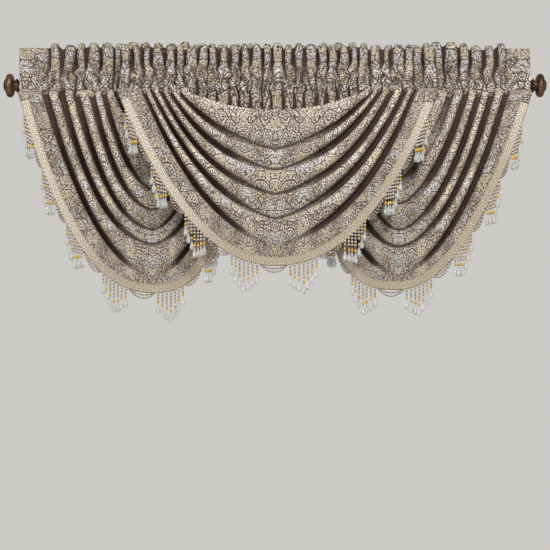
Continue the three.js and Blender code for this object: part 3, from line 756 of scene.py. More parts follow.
def swag_surface(valance, u):
    """Points of a swag's front, and the painted shading of each.

    Across a fold a point goes from one fold line to the next as across_folds says. It stands forward by
    the fold's depth times its lift, a power of half of one less the cosine of its turn, and by the swag's
    billow, which falls off with the square of s.
    """
    s = np.sin(np.pi / 2 * np.abs(u))
    fold, turn = swag_rows()
    line_x, line_z = fold_lines(valance, u)
    width = np.hypot(np.diff(line_x, axis=0), np.diff(line_z, axis=0))
    across = across_folds(s, fold, turn, width)
    breadth = CREST_BREADTH_LOW + (1 - CREST_BREADTH_LOW) * smooth(s / CREST_FULL_AT)
    lift = ((1 - np.cos(2 * np.pi * turn)) / 2) ** breadth
    lift = np.where((fold == HEM_BAND)[:, None], 1.0, lift)
    painted_shading = fold_painted_shading(valance, s, fold, turn, lift)
    opened = along_valley(s, fold[:, None] + turn, VALLEY_OPEN, valance["rim_open"], HEM_VALLEY_OPEN)
    lift = 1 - (1 - lift) * opened

    row_line = np.array(valance["lines"])[np.minimum(fold, HEM_FOLD)]
    low_depth = row_line[:, [LOW_DEPTH]]
    to_side = smooth(s / FULL_DEPTH_AT)
    drawn_in = 1 - DRAWN_IN_LOSS * smooth((s - DRAWN_IN_FROM) / (1 - DRAWN_IN_FROM))
    depth = (low_depth + (row_line[:, [SIDE_DEPTH]] - low_depth) * to_side) * drawn_in
    down = np.minimum((fold[:, None] + across) / HEM_BAND, 1)
    billow = (RIM_BILLOW + (HEM_BILLOW - RIM_BILLOW) * down) * (1 - s * s)

    points = np.empty((len(fold), len(u), 3))
    points[..., 0] = line_x[fold] + (line_x[fold + 1] - line_x[fold]) * across
    points[..., 1] = valance["rod_y"] - SWAG_IN_FRONT_OF_ROD - billow - depth * lift
    points[..., 2] = line_z[fold] + (line_z[fold + 1] - line_z[fold]) * across
    return points, painted_shading


def with_rolled_rim(points, painted_shading):
    """Adds the rim's turned-back facing: half a turn over the edge, then a strip straight down behind."""
    rim = points[0]
    down = points[RIM_SLOPE_ROW] - rim
    down[:, 1] = 0
    down /= np.linalg.norm(down, axis=-1, keepdims=True)
    back = np.array([0.0, 1.0, 0.0])
    angle = np.linspace(np.pi, 0, ROLL_STEPS, endpoint=False)[:, None, None]
    roll = rim - down * ROLL_RADIUS * np.sin(angle) + back * ROLL_RADIUS * (1 - np.cos(angle))
    reach = np.linspace(FACING_WIDTH, 0, FACING_STEPS, endpoint=False)[:, None, None]
    facing = rim + down * reach + back * 2 * ROLL_RADIUS
    added = np.repeat(painted_shading[:1], len(facing) + len(roll), axis=0)
    return np.concatenate([facing, roll, points]), np.concatenate([added, painted_shading])


def with_domed_tops(valance, points, painted_shading):
    """Adds the rounded tops where the folds are sewn.

    Each is a quarter turn up and back to the seam, higher on ridges than in hollows.
    """
    seam_y = valance["rod_y"] - SEWN_TO_ROD
    angle = np.linspace(0, np.pi / 2, DOME_STEPS + 1)[1:][None, :]
    place = np.arange(len(points)) / DOME_SPACING
    seed = int(1000 * abs(valance["low_x"]))
    uneven = 1 + DOME_UNEVENNESS * wander(place, place * 0, seed)[:, None]

    def dome(edge, edge_painted_shading):
        rise = DOME_RISE + DOME_RIDGE_RISE * uneven * (1 - np.maximum(edge_painted_shading, 0)[:, None])
        made = np.repeat(edge[:, None, :], DOME_STEPS, axis=1)
        made[..., 1] += (seam_y - edge[:, None, 1]) * (1 - np.cos(angle))
        made[..., 2] += rise * np.sin(angle)
        return made

    left = dome(points[:, 0], painted_shading[:, 0])[:, ::-1]
    right = dome(points[:, -1], painted_shading[:, -1])
    shade = [np.repeat(painted_shading[:, :1], DOME_STEPS, 1), painted_shading, np.repeat(painted_shading[:, -1:], DOME_STEPS, 1)]
    return np.concatenate([left, points, right], axis=1), np.concatenate(shade, axis=1)


def swag_uv(valance, points):
    """Place on a swag's cloth in metres, from the lowest place of the rim, rightwards and downwards.

    It is the place seen from the front, moved outwards across the fold by a share of what the folds take
    up: the way walked over them, less the way that shows.
    """
    seen = points[..., (0, 2)]
    along = np.gradient(seen, axis=1)
    along /= np.maximum(np.linalg.norm(along, axis=-1, keepdims=True), 1e-9)
    outwards = np.stack([along[..., 1], -along[..., 0]], axis=-1)
    taken_up = arc_lengths(points, 0) - arc_lengths(seen, 0)
    place = seen + outwards * FOLD_TAKE_UP * taken_up[..., None]
    rim_z = valance["lines"][0][LOW_Z]
    return np.stack([place[..., 0] - valance["low_x"], rim_z - place[..., 1]], axis=-1)


def heading_uv(points):
    """Place on a heading's cloth in metres: shares of the mean way walked along the rod and around it."""
    along = arc_lengths(points, 1).mean(axis=0) * HEADING_PATTERN[0]
    around = arc_lengths(points, 0).mean(axis=1) * HEADING_PATTERN[1]
    return np.stack(np.broadcast_arrays(along[None, :] - along.mean(), around[:, None]), axis=-1)


def make_swag(name, valance, settings):
    """One swag as a thin sheet with its rolled rim and domed tops."""
    u = np.linspace(-1, 1, 2 * SIDE_STATIONS + 1)
    points, painted_shading = swag_surface(valance, u)
    points, painted_shading = with_rolled_rim(points, painted_shading)
    points, painted_shading = with_domed_tops(valance, points, painted_shading)
    rows, columns = painted_shading.shape
    shape = Shape(points.reshape(-1, 3), grid_quads(rows, columns), NO_TRIANGLES)
    uv = swag_uv(valance, points)
    piece = put_mesh(f"{name}_swag_cloth", [shape], cloth_materials(settings), uv, {"painted_shading": painted_shading})
    thicken(piece, settings.thickness)
    return piece


def heading_columns(heading):
    """Columns of a heading, as five arrays.

    They are the left end and the width of the column's cell, its turn in the cell, -1 or 1 in the flat end
    on the left or on the right and otherwise 0, and the cell's number.
    """
    pleats = np.arange(heading["pleats"])
    widths = 1 + PLEAT_UNEVENNESS * np.sin(PLEAT_RHYTHM * pleats)
    span = heading["right"] - heading["left"] - heading["flat_left"] - heading["flat_right"]
    widths *= span / widths.sum()
    cells = [(heading["flat_left"], FLAT_STEPS, -1)] if heading["flat_left"] else []
    cells += [(width, PLEAT_STEPS, 0) for width in widths]
    cells += [(heading["flat_right"], FLAT_STEPS, 1)] if heading["flat_right"] else []
    columns = []
    x = heading["left"]
    for index, (width, steps, flat) in enumerate(cells):
        turns = np.linspace(0, 1, steps, endpoint=False)
        columns += [(x, width, turn, flat, index) for turn in turns]
        x += width
    columns.append((x - width, width, 1.0, flat, index))
    return np.array(columns).T


def through(points, steps):
    """Smooth path through control points, with its own number of steps between each two.

    It is a cubic between each two points, and its slope at a point is half the way between the neighbours.
    """
    padded = np.vstack([2 * points[0] - points[1], points, 2 * points[-1] - points[-2]])
    spans = []
    for a, b, c, d, count in zip(padded[:-3], padded[1:-2], padded[2:-1], padded[3:], steps):
        t = np.linspace(0, 1, count, endpoint=False)[:, None]
        cubed = (-a + 3 * b - 3 * c + d) * t ** 3
        squared = (2 * a - 5 * b + 4 * c - d) * t ** 2
        spans.append((cubed + squared + (c - a) * t + 2 * b) / 2)
    return np.vstack(spans + [points[-1:]])


def skirt_bottom(valance, x):
    """Lower end of the skirt: short at the ends of the heading, full behind the swag's rim."""
    rim = valance["lines"][0]
    inside = SKIRT_OVERLAP + np.minimum(x - rim[LEFT_X], rim[RIGHT_X] - x)
    return SKIRT_BOTTOM_END + (SKIRT_BOTTOM_MIDDLE - SKIRT_BOTTOM_END) * smooth(inside / SKIRT_SLOPE)


def creased(x, z, lines):
    """Soft creases along straight lines, 1 on a line: a bell curve of the distance from the nearest one.

    A crease is strongest at its middle and fades towards its ends as a half sine wave does.
    """
    crease = np.zeros(np.broadcast_shapes(x.shape, z.shape))
    for x0, z0, x1, z1, half_width in lines:
        way = ((x - x0) * (x1 - x0) + (z - z0) * (z1 - z0)) / ((x1 - x0) ** 2 + (z1 - z0) ** 2)
        t = np.clip(way, 0, 1)
        away = np.hypot(x - x0 - t * (x1 - x0), z - z0 - t * (z1 - z0))
        strength = CREASE_AT_ENDS + (1 - CREASE_AT_ENDS) * np.sin(np.pi * t)
        crease = np.maximum(crease, np.exp(-(away / half_width) ** 2) * strength)
    return crease


def pucker_depth(heading, x, z, seed):
    """How far inside its own pucker a point lies: the way to the next one's middle, less that to its own.

    The middles are scattered along the pocket. Heights count less than widths, so puckers stand upright.
    """
    random = np.random.default_rng(seed)
    count = int(PUCKERS_A_PLEAT * heading["pleats"]) + PUCKERS_AT_ENDS
    place = (np.arange(count) + 0.5 + random.uniform(-PUCKER_JITTER, PUCKER_JITTER, count)) / count
    middle_x = heading["left"] + (heading["right"] - heading["left"]) * place
    middle_z = random.uniform(*PUCKER_HEIGHTS, count)
    away = np.hypot(x[..., None] - middle_x, (z[..., None] - middle_z) * PUCKER_STRETCH)
    nearest = np.partition(away, 1, axis=-1)
    return nearest[..., 1] - nearest[..., 0]


def pleat_lift(turn, flat):
    """How far a column stands forward, from gap (0) to crest (1): a power of half of one less the cosine.

    A flat end stands level and falls to the gap beside its first pleat.
    """
    pleat = ((1 - np.cos(2 * np.pi * turn)) / 2) ** PLEAT_ROUNDNESS
    inwards = np.where(flat < 0, turn, 1 - turn)
    level = FLAT_GATHER * (1 - smooth((inwards - FLAT_LEVEL_TO) / (1 - FLAT_LEVEL_TO)))
    return np.where(flat == 0, pleat, level)


def heading_rows(bottom, crown, seam):
    """Rows of a heading's section in every column: y from the rod's axis, z, gather, gap and painted shade.

    They go smoothly through the rows of HEADING_PATH, with the skirt's lower end at bottom, the header's
    top at crown and the seam moved up or down.
    """
    heights = {
        "skirt": bottom,
        "half skirt": (bottom + SEAM_Z) / 2,
        "header": crown - HEADER_ROUNDING,
        "header fold": crown,
    }
    control = []
    for y, z, gather, gap, dark, _ in HEADING_PATH:
        height = heights[z] if isinstance(z, str) else z + seam * (z <= SEAM_Z)
        control.append(np.stack(np.broadcast_arrays(y, height, gather, gap, dark), axis=-1))
    steps = [row[-1] for row in HEADING_PATH]
    rows = through(np.reshape(control, (len(HEADING_PATH), -1)), steps)
    return np.moveaxis(rows.reshape(-1, len(crown), 5), -1, 0)


def heading_surface(valance, seed):
    """Points of a heading, and the painted shading of each: its section carried along the rod, in pleats.

    Each pleat turns as a fold does, from gap over crest to gap. The gaps wander sideways and in width from
    row to row, most of all in the pocket over the rod, which has puckers too. The gaps, the lines between
    puckers, crinkles that the surface doesn't have and the creases get painted shade, the header a plain
    painted shade and the pocket a painted highlight. The flat ends have slanting creases.
    """
    cell_x, width, turn, flat, cell = heading_columns(valance["heading"])
    pleated = flat == 0
    lift = pleat_lift(turn, flat)
    middle_x = cell_x + width * turn
    uneven = HEADER_UNEVENNESS * wander(cell * TOP_STEP + TOP_START, cell * 0, seed + IN_TOP)
    top = valance["header_top"] + uneven - np.where(pleated, 0, FLAT_END_DROP)
    crown = top - GAP_DROP * np.where(pleated, 1 - lift, 0)
    seam = SEAM_UNEVENNESS * wander(middle_x / SEAM_LUMP, middle_x * 0, seed + IN_SEAM)
    y, z, gather, gap, dark = heading_rows(skirt_bottom(valance, middle_x), crown, seam)
    forward = np.where(pleated, 0, FLAT_HEADER_FORWARD)
    y = y - forward * smooth((z - FLAT_FORWARD_FROM) / FLAT_FORWARD_FADE) * (y < 0)

    above_seam = smooth((z - POCKET_BOTTOM) / POCKET_BOTTOM_FADE)
    in_pocket = above_seam * smooth((POCKET_TOP - z) / POCKET_TOP_FADE)
    in_header = smooth((z - HEADER_BOTTOM) / HEADER_BOTTOM_FADE)
    in_front = in_pocket * (y < POCKET_FRONT_Y)
    last_gap = cell[-1] + 1

    def of_gap(number, height, kind):
        return wander(number[None, :] * GAP_STEP + GAP_START, z / height, seed + kind)

    def shift(number):
        inner = ((number > 0) & (number < last_gap))[None, :]
        header_shift = HEADER_WANDER * of_gap(number, HEADER_LUMP, IN_HEADER) * in_header
        return inner * (header_shift + POCKET_WANDER * of_gap(number, POCKET_LUMP, IN_POCKET) * in_pocket)

    gap_before = gap * (1 + GAP_VARIETY * of_gap(cell, GAP_LUMP, IN_GAPS))
    gap_after = gap * (1 + GAP_VARIETY * of_gap(cell + 1, GAP_LUMP, IN_GAPS))
    across = np.where(pleated, fold_section(turn[None, :], gap_before, 0.5, 1 - gap_after), turn)
    x = cell_x + width * across + shift(cell) * (1 - across) + shift(cell + 1) * across

    inside = pucker_depth(valance["heading"], x, z, seed + IN_PUCKERS)
    lumps = wander(x / SWELL_LUMP[0], z / SWELL_LUMP[1], seed + IN_SWELLS)
    swell = 1 - np.exp(-(inside / PUCKER_SOFTNESS) ** 2) + PUCKER_SWELL * lumps
    pucker = PUCKER_DEPTH * swell * in_front * np.where(pleated, 1, FLAT_PUCKERS)
    crease = creased(x, z, valance["creases"]) * (y < 0)
    strength = 1 + GATHER_VARIETY * wander(cell[None, :] * GATHER_STEP, z / GATHER_LUMP, seed + IN_GATHERS)
    points = np.empty(z.shape + (3,))
    points[..., 0] = x
    points[..., 1] = valance["rod_y"] + y - gather * lift * strength - pucker + CREASE_DEPTH * crease
    points[..., 2] = z

    # Painted shade in the gaps, along the lines between puckers, on crinkles the surface lacks and in
    # creases
    before, after = (of_gap(number, SHADE_LUMP, IN_SHADES) for number in (cell, cell + 1))
    near_gap = np.where(turn < 0.5, before, after)
    gaps = np.where(pleated, smooth((GAP_BELOW - lift) / GAP_FADE), 0) * dark
    gaps *= 1 + GAP_SHADE_LOSS * np.minimum(near_gap, 0) * in_pocket
    line_shade = np.where(pleated, PUCKER_LINE_SHADE, FLAT_LINE_SHADE)
    between = np.exp(-(inside / PUCKER_LINE) ** 2) * in_front * line_shade
    lumps = wander(x / CRINKLE_LUMP[0], z / CRINKLE_LUMP[1], seed + IN_CRINKLES)
    crinkle_shade = smooth((lumps - CRINKLE_ABOVE) / CRINKLE_FADE) * in_front * CRINKLE_SHADE
    painted_shading = np.maximum.reduce([gaps, between, crinkle_shade, CREASE_SHADE * crease ** 2])
    # Plain painted shade on the header, and a painted highlight on the pocket
    plain = HEADING_SHADE + (POCKET_SHADE - HEADING_SHADE) * in_pocket
    return points, painted_shading + plain * (1 - painted_shading)


def make_heading(name, valance, settings, seed):
    """One heading as a thin sheet: skirt, pocket, header and back, with a slit on the front rod."""
    points, painted_shading = heading_surface(valance, seed)
    rows, columns = painted_shading.shape
    corners = points.reshape(-1, 3)
    quads = grid_quads(rows, columns)[:, ::-1]
    if valance["rod_y"] == FRONT_ROD_Y:
        x, y, z = corners[quads].mean(axis=1).T
        behind = y > FRONT_ROD_Y + SLIT_BEHIND_AXIS
        quads = quads[~(behind & (np.abs(x) < SLIT_HALF_WIDTH) & (np.abs(z) < SLIT_HALF_HEIGHT))]
    shape = Shape(corners, quads, NO_TRIANGLES)
    uv = heading_uv(points)
    piece = put_mesh(f"{name}_heading_cloth", [shape], cloth_materials(settings), uv, {"painted_shading": painted_shading})
    thicken(piece, settings.thickness)
    return piece


class Hem(NamedTuple):
    """Lower edge of a swag by evenly spaced distance from its lowest place"""

    distance: np.ndarray
    inner: np.ndarray
    outer: np.ndarray
    normal: np.ndarray


def between_points(where, distance, points):
    """Points at some distances along a line through points whose own distances are known."""
    return np.stack([np.interp(where, distance, points[:, k]) for k in range(3)], axis=-1)


def hem_of(valance, count):
    """Inner and outer edge of the hem band and its normal, at even steps along the outer edge."""
    u = np.linspace(-1, 1, HEM_SAMPLES)
    points, _ = swag_surface(valance, u)
    outer = points[-1]
    walked = arc_lengths(outer, 0)
    walked -= np.interp(0.0, u, walked)
    top = np.where(u < 0, valance["braid_top"][0], valance["braid_top"][1])
    sewn = walked[outer[:, 2] < top]
    distance = np.linspace(sewn[0], sewn[-1], count)
    inner = between_points(distance, walked, points[-1 - BAND_STEPS])
    outer = between_points(distance, walked, outer)
    normal = np.cross(outer - inner, np.gradient(outer, axis=0))
    normal /= np.linalg.norm(normal, axis=-1, keepdims=True)
    return Hem(distance, inner, outer, normal)


def make_braid(name, valance, settings):
    """Braid on the hem band: picot loops on its edges, a twisted cord beside each, a chain in the middle.

    Chain and cords are bell curves of the way off the braid's middle, and swell with cosines along it. The
    picots reach out by a sine wave.
    """
    hem = hem_of(valance, BRAID_STATIONS)
    v = np.linspace(0, 1, BRAID_ROWS)[:, None]
    beat = np.abs(np.sin(np.pi * hem.distance / PICOT_PITCH))[None, :]
    edge = np.where((v == 0) | (v == 1), 1.0, 0.0)
    reach = (np.sign(v - 0.5) * edge * PICOT_REACH * beat) / BRAID_WIDTH
    chain = np.exp(-((v - 0.5) / CHAIN_HALF_WIDTH) ** 2)
    links = np.cos(2 * np.pi * hem.distance / CHAIN_PITCH)[None, :]
    cords = np.exp(-((np.abs(v - 0.5) - CORD_OFF_MIDDLE) / CORD_HALF_WIDTH) ** 2)
    twist = 1 + CORD_TWIST * np.cos(2 * np.pi * hem.distance / PICOT_PITCH)[None, :]
    linked = CHAIN_RISE * chain * (1 - CHAIN_BEAT + CHAIN_BEAT * links)
    relief = BRAID_GROUND + linked + CORD_RISE * cords * twist
    height = BRAID_OFF_CLOTH + BRAID_HEIGHT * relief - edge * BRAID_HEIGHT * PICOT_DROP
    way = v + reach
    points = hem.inner + (hem.outer - hem.inner) * way[..., None] + hem.normal * height[..., None]
    shape = Shape(points.reshape(-1, 3), grid_quads(BRAID_ROWS, BRAID_STATIONS), NO_TRIANGLES)
    uv = np.stack(np.broadcast_arrays(hem.distance[None, :], v * BRAID_WIDTH), axis=-1)
    piece = put_mesh(f"{name}_braid", [shape], [braid_material(settings)], uv)
    thicken(piece, BRAID_THICKNESS)
    return piece


def strand_roots(valance, hem):
    """Roots, lengths and forward swing of all strands, and both ends of each loop, on the hem's edge."""
    middle = (np.arange(CLUSTERS) - (CLUSTERS - 1) / 2) * CLUSTER_PITCH + valance["cluster_shift"]
    count = len(STRAND_LENGTHS)
    place = (np.arange(count) - (count - 1) / 2) * STRAND_SPACING
    along = (middle[:, None] + place).ravel()
    length = np.tile(STRAND_LENGTHS, CLUSTERS)
    swing = np.tile(np.where(np.arange(count) % 2 == 0, 0.0, STRAND_STAGGER), CLUSTERS)
    inside = (along > hem.distance[0]) & (along < hem.distance[-1])
    half_loop = (CLUSTER_PITCH - count * STRAND_SPACING) / 2
    loops = middle[:-1, None] + CLUSTER_PITCH / 2 + np.array([-half_loop, half_loop])
    whole = (loops[:, 0] > hem.distance[0]) & (loops[:, 1] < hem.distance[-1])
    return along[inside], length[inside], swing[inside], loops[whole]


def on_edge(hem, along):
    """Points just inside the braid's lower edge, at the middle of its thickness."""
    edges = (hem.outer, hem.inner, hem.normal)
    outer, inner, normal = (between_points(along, hem.distance, values) for values in edges)
    inwards = (inner - outer) * (ROOT_INSET / BRAID_WIDTH)
    return outer + inwards + normal * (BRAID_OFF_CLOTH + BRAID_HEIGHT / 2)


def hanging_frames(sway, slope):
    """Frames of beads on strands: the way down is sheared sideways by sway and forward by slope."""
    frames = np.tile(np.eye(3), (len(slope), 1, 1))
    frames[:, 0, 2] = sway
    frames[:, 1, 2] = slope
    return frames


def strand_places(root, sway, slope, below):
    """Points on the strands, each its own distance below the root, sideways and forward by shares of it."""
    way_down = np.stack([sway, slope, np.ones_like(slope)], axis=-1)
    return root - way_down * below[:, None]


def make_beads(name, valance, settings, seed):
    """Fringe of one swag: strands of small beads and spacers with amber beads and drops, and loops."""
    hem = hem_of(valance, BRAID_STATIONS)
    along, length, swing, loops = strand_roots(valance, hem)
    root = on_edge(hem, along)
    slope = swing / length
    sway = np.random.default_rng(seed).uniform(-STRAND_SWAY, STRAND_SWAY, len(along))
    drop_top = length - DROP_LENGTH
    amber_top = drop_top - AMBER_LENGTH
    count = int(np.ceil(amber_top.max() / BEAD_PITCH))
    step = (np.arange(count) + FIRST_BEAD) * BEAD_PITCH
    strand, bead = np.nonzero(step[None, :] < amber_top[:, None] - BEAD_PITCH * ROOM_ABOVE_AMBER)
    small_below = step[bead]

    def copies(profile, which, below):
        places = strand_places(root[which], sway[which], slope[which], below)
        frames = hanging_frames(sway[which], slope[which])
        return repeated(turned(profile, settings.bead_sides), places, frames)

    every = np.arange(len(along))
    small = copies(SMALL_BEAD, strand, small_below)
    spacers = copies(SPACER, strand, small_below + SMALL_LENGTH)
    amber = copies(AMBER_BEAD, every, amber_top)
    drops = copies(CLEAR_DROP, every, drop_top)
    loop_beads, loop_spacers = loop_string(hem, loops, settings)
    shapes = [merged([small, loop_beads]), merged([spacers, loop_spacers]), amber, drops]
    return put_mesh(f"{name}_beads", shapes, bead_materials(settings), flat_shaded=(DROP_FINISH,))


def merged(shapes):
    """Several shapes as one, in order."""
    starts = np.cumsum([0] + [len(shape.points) for shape in shapes])
    return Shape(
        np.concatenate([shape.points for shape in shapes]),
        np.concatenate([shape.quads + start for shape, start in zip(shapes, starts)]),
        np.concatenate([shape.triangles + start for shape, start in zip(shapes, starts)]),
    )


def loop_string(hem, loops, settings):
    """Two sets of beads in turn on pairs of sagging strings: straight lines, less a parabola of the sag."""
    loops = np.repeat(loops, len(LOOP_SAGS), axis=0)
    sag = np.tile(LOOP_SAGS, len(loops) // len(LOOP_SAGS))[:, None]
    ends = on_edge(hem, loops.ravel()).reshape(-1, 2, 3)
    span = np.linalg.norm(ends[:, 1] - ends[:, 0], axis=-1)
    count = int(np.round(span.mean() * LOOP_SLACK / LOOP_BEAD_PITCH))
    t = ((np.arange(count) + 0.5) / count)[None, :, None]
    places = ends[:, :1] + (ends[:, 1:] - ends[:, :1]) * t
    places[..., 2] -= sag * 4 * (t * (1 - t))[..., 0] - LOOP_BEAD_PITCH / 2
    bead = turned(SMALL_BEAD, settings.bead_sides)

    def string(some):
        frames = np.tile(np.eye(3) * LOOP_BEAD_SIZE, (some.shape[0] * some.shape[1], 1, 1))
        return repeated(bead, some.reshape(-1, 3), frames)

    return string(places[:, 0::2]), string(places[:, 1::2])


def along_x(shape, x, y, direction):
    """A turned shape laid along the rod: its own way down becomes the way out, left or right."""
    px, py, pz = shape.points.T
    out = -pz * direction
    points = np.stack([x + out, y + py, px * direction], axis=-1)
    return Shape(points, shape.quads, shape.triangles)


def make_rod(name, node, y):
    """Rod as a turned bar with softened ends, as long as its node."""
    low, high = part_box(node)
    length = high.x - low.x
    profile = [(0, 0), (ROD_RADIUS - ROD_EDGE, 0), (ROD_RADIUS, ROD_EDGE)]
    profile += [(ROD_RADIUS, length - ROD_EDGE), (ROD_RADIUS - ROD_EDGE, length), (0, length)]
    shape = along_x(turned(profile, TURNED_SIDES), low.x, y, 1)
    return put_mesh(name, [shape], [bronze_material(*ROD_BRONZE)])


def make_finial(name, node, direction):
    """Finial turned from its profile: collar, groove, thick rounded disc and low cap."""
    low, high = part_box(node)
    x = low.x if direction > 0 else high.x
    shape = along_x(turned(FINIAL_PROFILE, TURNED_SIDES), x, REAR_ROD_Y, direction)
    return put_mesh(name, [shape], [bronze_material(*FINIAL_BRONZE)])


class Wire:
    """A number in a node tree that sums and products can be written with."""

    def __init__(self, tree, socket):
        self.tree = tree
        self.socket = socket

    def math(self, operation, *others):
        """Result of one of the math node's operations on this number and others."""
        node = self.tree.nodes.new("ShaderNodeMath")
        node.operation = operation
        for place, value in enumerate((self, *others)):
            plug(self.tree, value, node.inputs[place])
        return Wire(self.tree, node.outputs[0])

    def __add__(self, other):
        return self.math("ADD", other)

    def __sub__(self, other):
        return self.math("SUBTRACT", other)

    def __mul__(self, other):
        return self.math("MULTIPLY", other)

    def __truediv__(self, other):
        return self.math("DIVIDE", other)

    def rise(self, low, high):
        """0 below low, 1 above high and a soft step between."""
        node = self.tree.nodes.new("ShaderNodeMapRange")
        node.interpolation_type = "SMOOTHSTEP"
        plug(self.tree, self, node.inputs["Value"])
        plug(self.tree, low, node.inputs["From Min"])
        plug(self.tree, high, node.inputs["From Max"])
        return Wire(self.tree, node.outputs["Result"])

    def near(self, value, half, blur):
        """1 within half of a value and 0 past it, with a soft edge."""
        away = (self - value).math("ABSOLUTE")
        return away.rise(half + blur, half)


def plug(tree, value, socket):
    """Links a wire to a socket, or sets a plain value on it."""
    if isinstance(value, Wire):
        tree.links.new(value.socket, socket)
    else:
        socket.default_value = value


def most(first, *others):
    """The largest of several wires."""
    for other in others:
        first = first.math("MAXIMUM", other)
    return first


def split(tree, socket):
    """x and y of a vector."""
    node = tree.nodes.new("ShaderNodeSeparateXYZ")
    tree.links.new(socket, node.inputs[0])
    return Wire(tree, node.outputs[0]), Wire(tree, node.outputs[1])


def joined_vector(tree, x, y):
    """Vector of an x and a y."""
    node = tree.nodes.new("ShaderNodeCombineXYZ")
    plug(tree, x, node.inputs[0])
    plug(tree, y, node.inputs[1])
    return node.outputs[0]


def noise(tree, vector, scale, detail=1.0):
    """Smooth noise from 0 to 1 at so many lumps a metre."""
    node = tree.nodes.new("ShaderNodeTexNoise")
    tree.links.new(vector, node.inputs["Vector"])
    node.inputs["Scale"].default_value = scale
    node.inputs["Detail"].default_value = detail
    return Wire(tree, node.outputs["Fac"])


def mix(tree, share, first, second):
    """Colour that goes from first to second."""
    node = tree.nodes.new("ShaderNodeMix")
    node.data_type = "RGBA"
    plug(tree, share, node.inputs["Factor"])
    for colour, socket in ((first, node.inputs[6]), (second, node.inputs[7])):
        if isinstance(colour, bpy.types.NodeSocket):
            tree.links.new(colour, socket)
        else:
            socket.default_value = (*colour, 1.0)
    return node.outputs[2]


def new_group(name, inputs, outputs):
    """Empty node group with its sockets, its input node and its output node."""
    tree = bpy.data.node_groups.new(name, "ShaderNodeTree")
    for label, kind in inputs:
        tree.interface.new_socket(label, in_out="INPUT", socket_type=kind)
    for label, kind in outputs:
        tree.interface.new_socket(label, in_out="OUTPUT", socket_type=kind)
    return tree, tree.nodes.new("NodeGroupInput"), tree.nodes.new("NodeGroupOutput")


COLOUR = "NodeSocketColor"
VALUE = "NodeSocketFloat"
VECTOR = "NodeSocketVector"
YARNS = ("Ground", "Pale", "Cool", "Warm", "Outline")


def voronoi(tree, vector, cells, feature="F1"):
    """Scattered cells, so many a metre."""
    node = tree.nodes.new("ShaderNodeTexVoronoi")
    node.voronoi_dimensions = "2D"
    node.feature = feature
    node.inputs["Scale"].default_value = cells
    tree.links.new(vector, node.inputs["Vector"])
    return node


def random_values(tree, cells):
    """Three random values of a place's own cell."""
    node = tree.nodes.new("ShaderNodeSeparateColor")
    tree.links.new(cells.outputs["Color"], node.inputs[0])
    return [Wire(tree, output) for output in node.outputs]


def from_centre(tree, vector, cells):
    """x and y of the way from the centre of a place's own cell to the place."""
    offset = tree.nodes.new("ShaderNodeVectorMath")
    offset.operation = "SUBTRACT"
    tree.links.new(vector, offset.inputs[0])
    tree.links.new(cells.outputs["Position"], offset.inputs[1])
    return split(tree, offset.outputs[0])


def scrollwork(tree, vector, leaves, pitch):
    """Curled stems: the plane is parted into leaves, so many a metre, each with its own spiral line.

    The line is where the turn about the leaf's centre plus the distance over the pitch is a whole number
    and a half.
    """
    cells = voronoi(tree, vector, leaves)
    x, y = from_centre(tree, vector, cells)
    _, side, start = random_values(tree, cells)
    away = (x * x + y * y).math("SQRT")
    hand = side.math("GREATER_THAN", 0.5) * 2.0 - 1.0
    turn = y.math("ARCTAN2", x) * hand / (2 * np.pi) + start
    return (turn + away / pitch).math("FRACT").near(*CURL_LINE)


def dots(tree, vector, cells, radius):
    """Scattered dots, so many a metre each way: 1 within the radius of a cell's centre, with a soft edge."""
    away = Wire(tree, voronoi(tree, vector, cells).outputs["Distance"]) / cells
    return away.rise(radius * DOT_FADES[0], radius * DOT_FADES[1])


def patchwork(tree, vector, patches):
    """Irregular patches, so many a metre: the way in metres from a patch's border, and its random value."""
    border = Wire(tree, voronoi(tree, vector, patches, "DISTANCE_TO_EDGE").outputs["Distance"]) / patches
    kind, _, _ = random_values(tree, voronoi(tree, vector, patches))
    return border, kind


def rosettes(tree, vector, cells):
    """Dotted rings about scattered centres, so many a metre: waves outwards times waves around them."""
    x, y = from_centre(tree, vector, voronoi(tree, vector, cells))
    away = (x * x + y * y).math("SQRT")
    around = (y.math("ARCTAN2", x) * ROSETTE_RAYS).math("SINE")
    return ((away * (2 * np.pi / ROSETTE_RING)).math("COSINE") * (around * 0.5 + 0.75)).rise(0.0, 0.35)


def paisley_figure(tree, x, y):
    """Size of the paisley figure at a place, which is 1 on its outline, and the dark lines of its drawing.

    A figure is a teardrop with a bent tip. Its size is the root of two squares: the way sideways over a
    half width that narrows to the tip, and the way lengthwise over the half length.
    """
    px = x - FIGURE_X
    py = (((y - ROW_BELOW_RIM) / ROW_HEIGHT).math("FRACT") - 0.5) * ROW_HEIGHT
    to_tip = py.math("MAXIMUM", 0.0)
    bent = px - to_tip * to_tip * TIP_BEND
    narrowing = py.rise(*TIP_NARROWS) * -TIP_LOSS + 1.0
    sideways = bent / (narrowing * FIGURE_HALF_WIDTH)
    lengthwise = py / FIGURE_HALF_LENGTH
    size = (sideways * sideways + lengthwise * lengthwise).math("SQRT")
    angle = (py + CENTRE_OFF_MIDDLE).math("ARCTAN2", bent)
    beads = (angle * BEADS_AROUND).math("COSINE")
    petals = (angle * PETALS_AROUND).math("COSINE")
    lines = most(
        size.near(*RIM_LINE),
        size.near(*BEAD_LINE) * beads.rise(-0.2, 0.3),
        (size + petals * 0.06).near(*PETAL_LINE),
        (size + petals * 0.08).near(*HEART_LINE),
        size.near(*OUTER_BEAD_LINE) * beads.rise(0.1, 0.5),
    )
    return size, lines


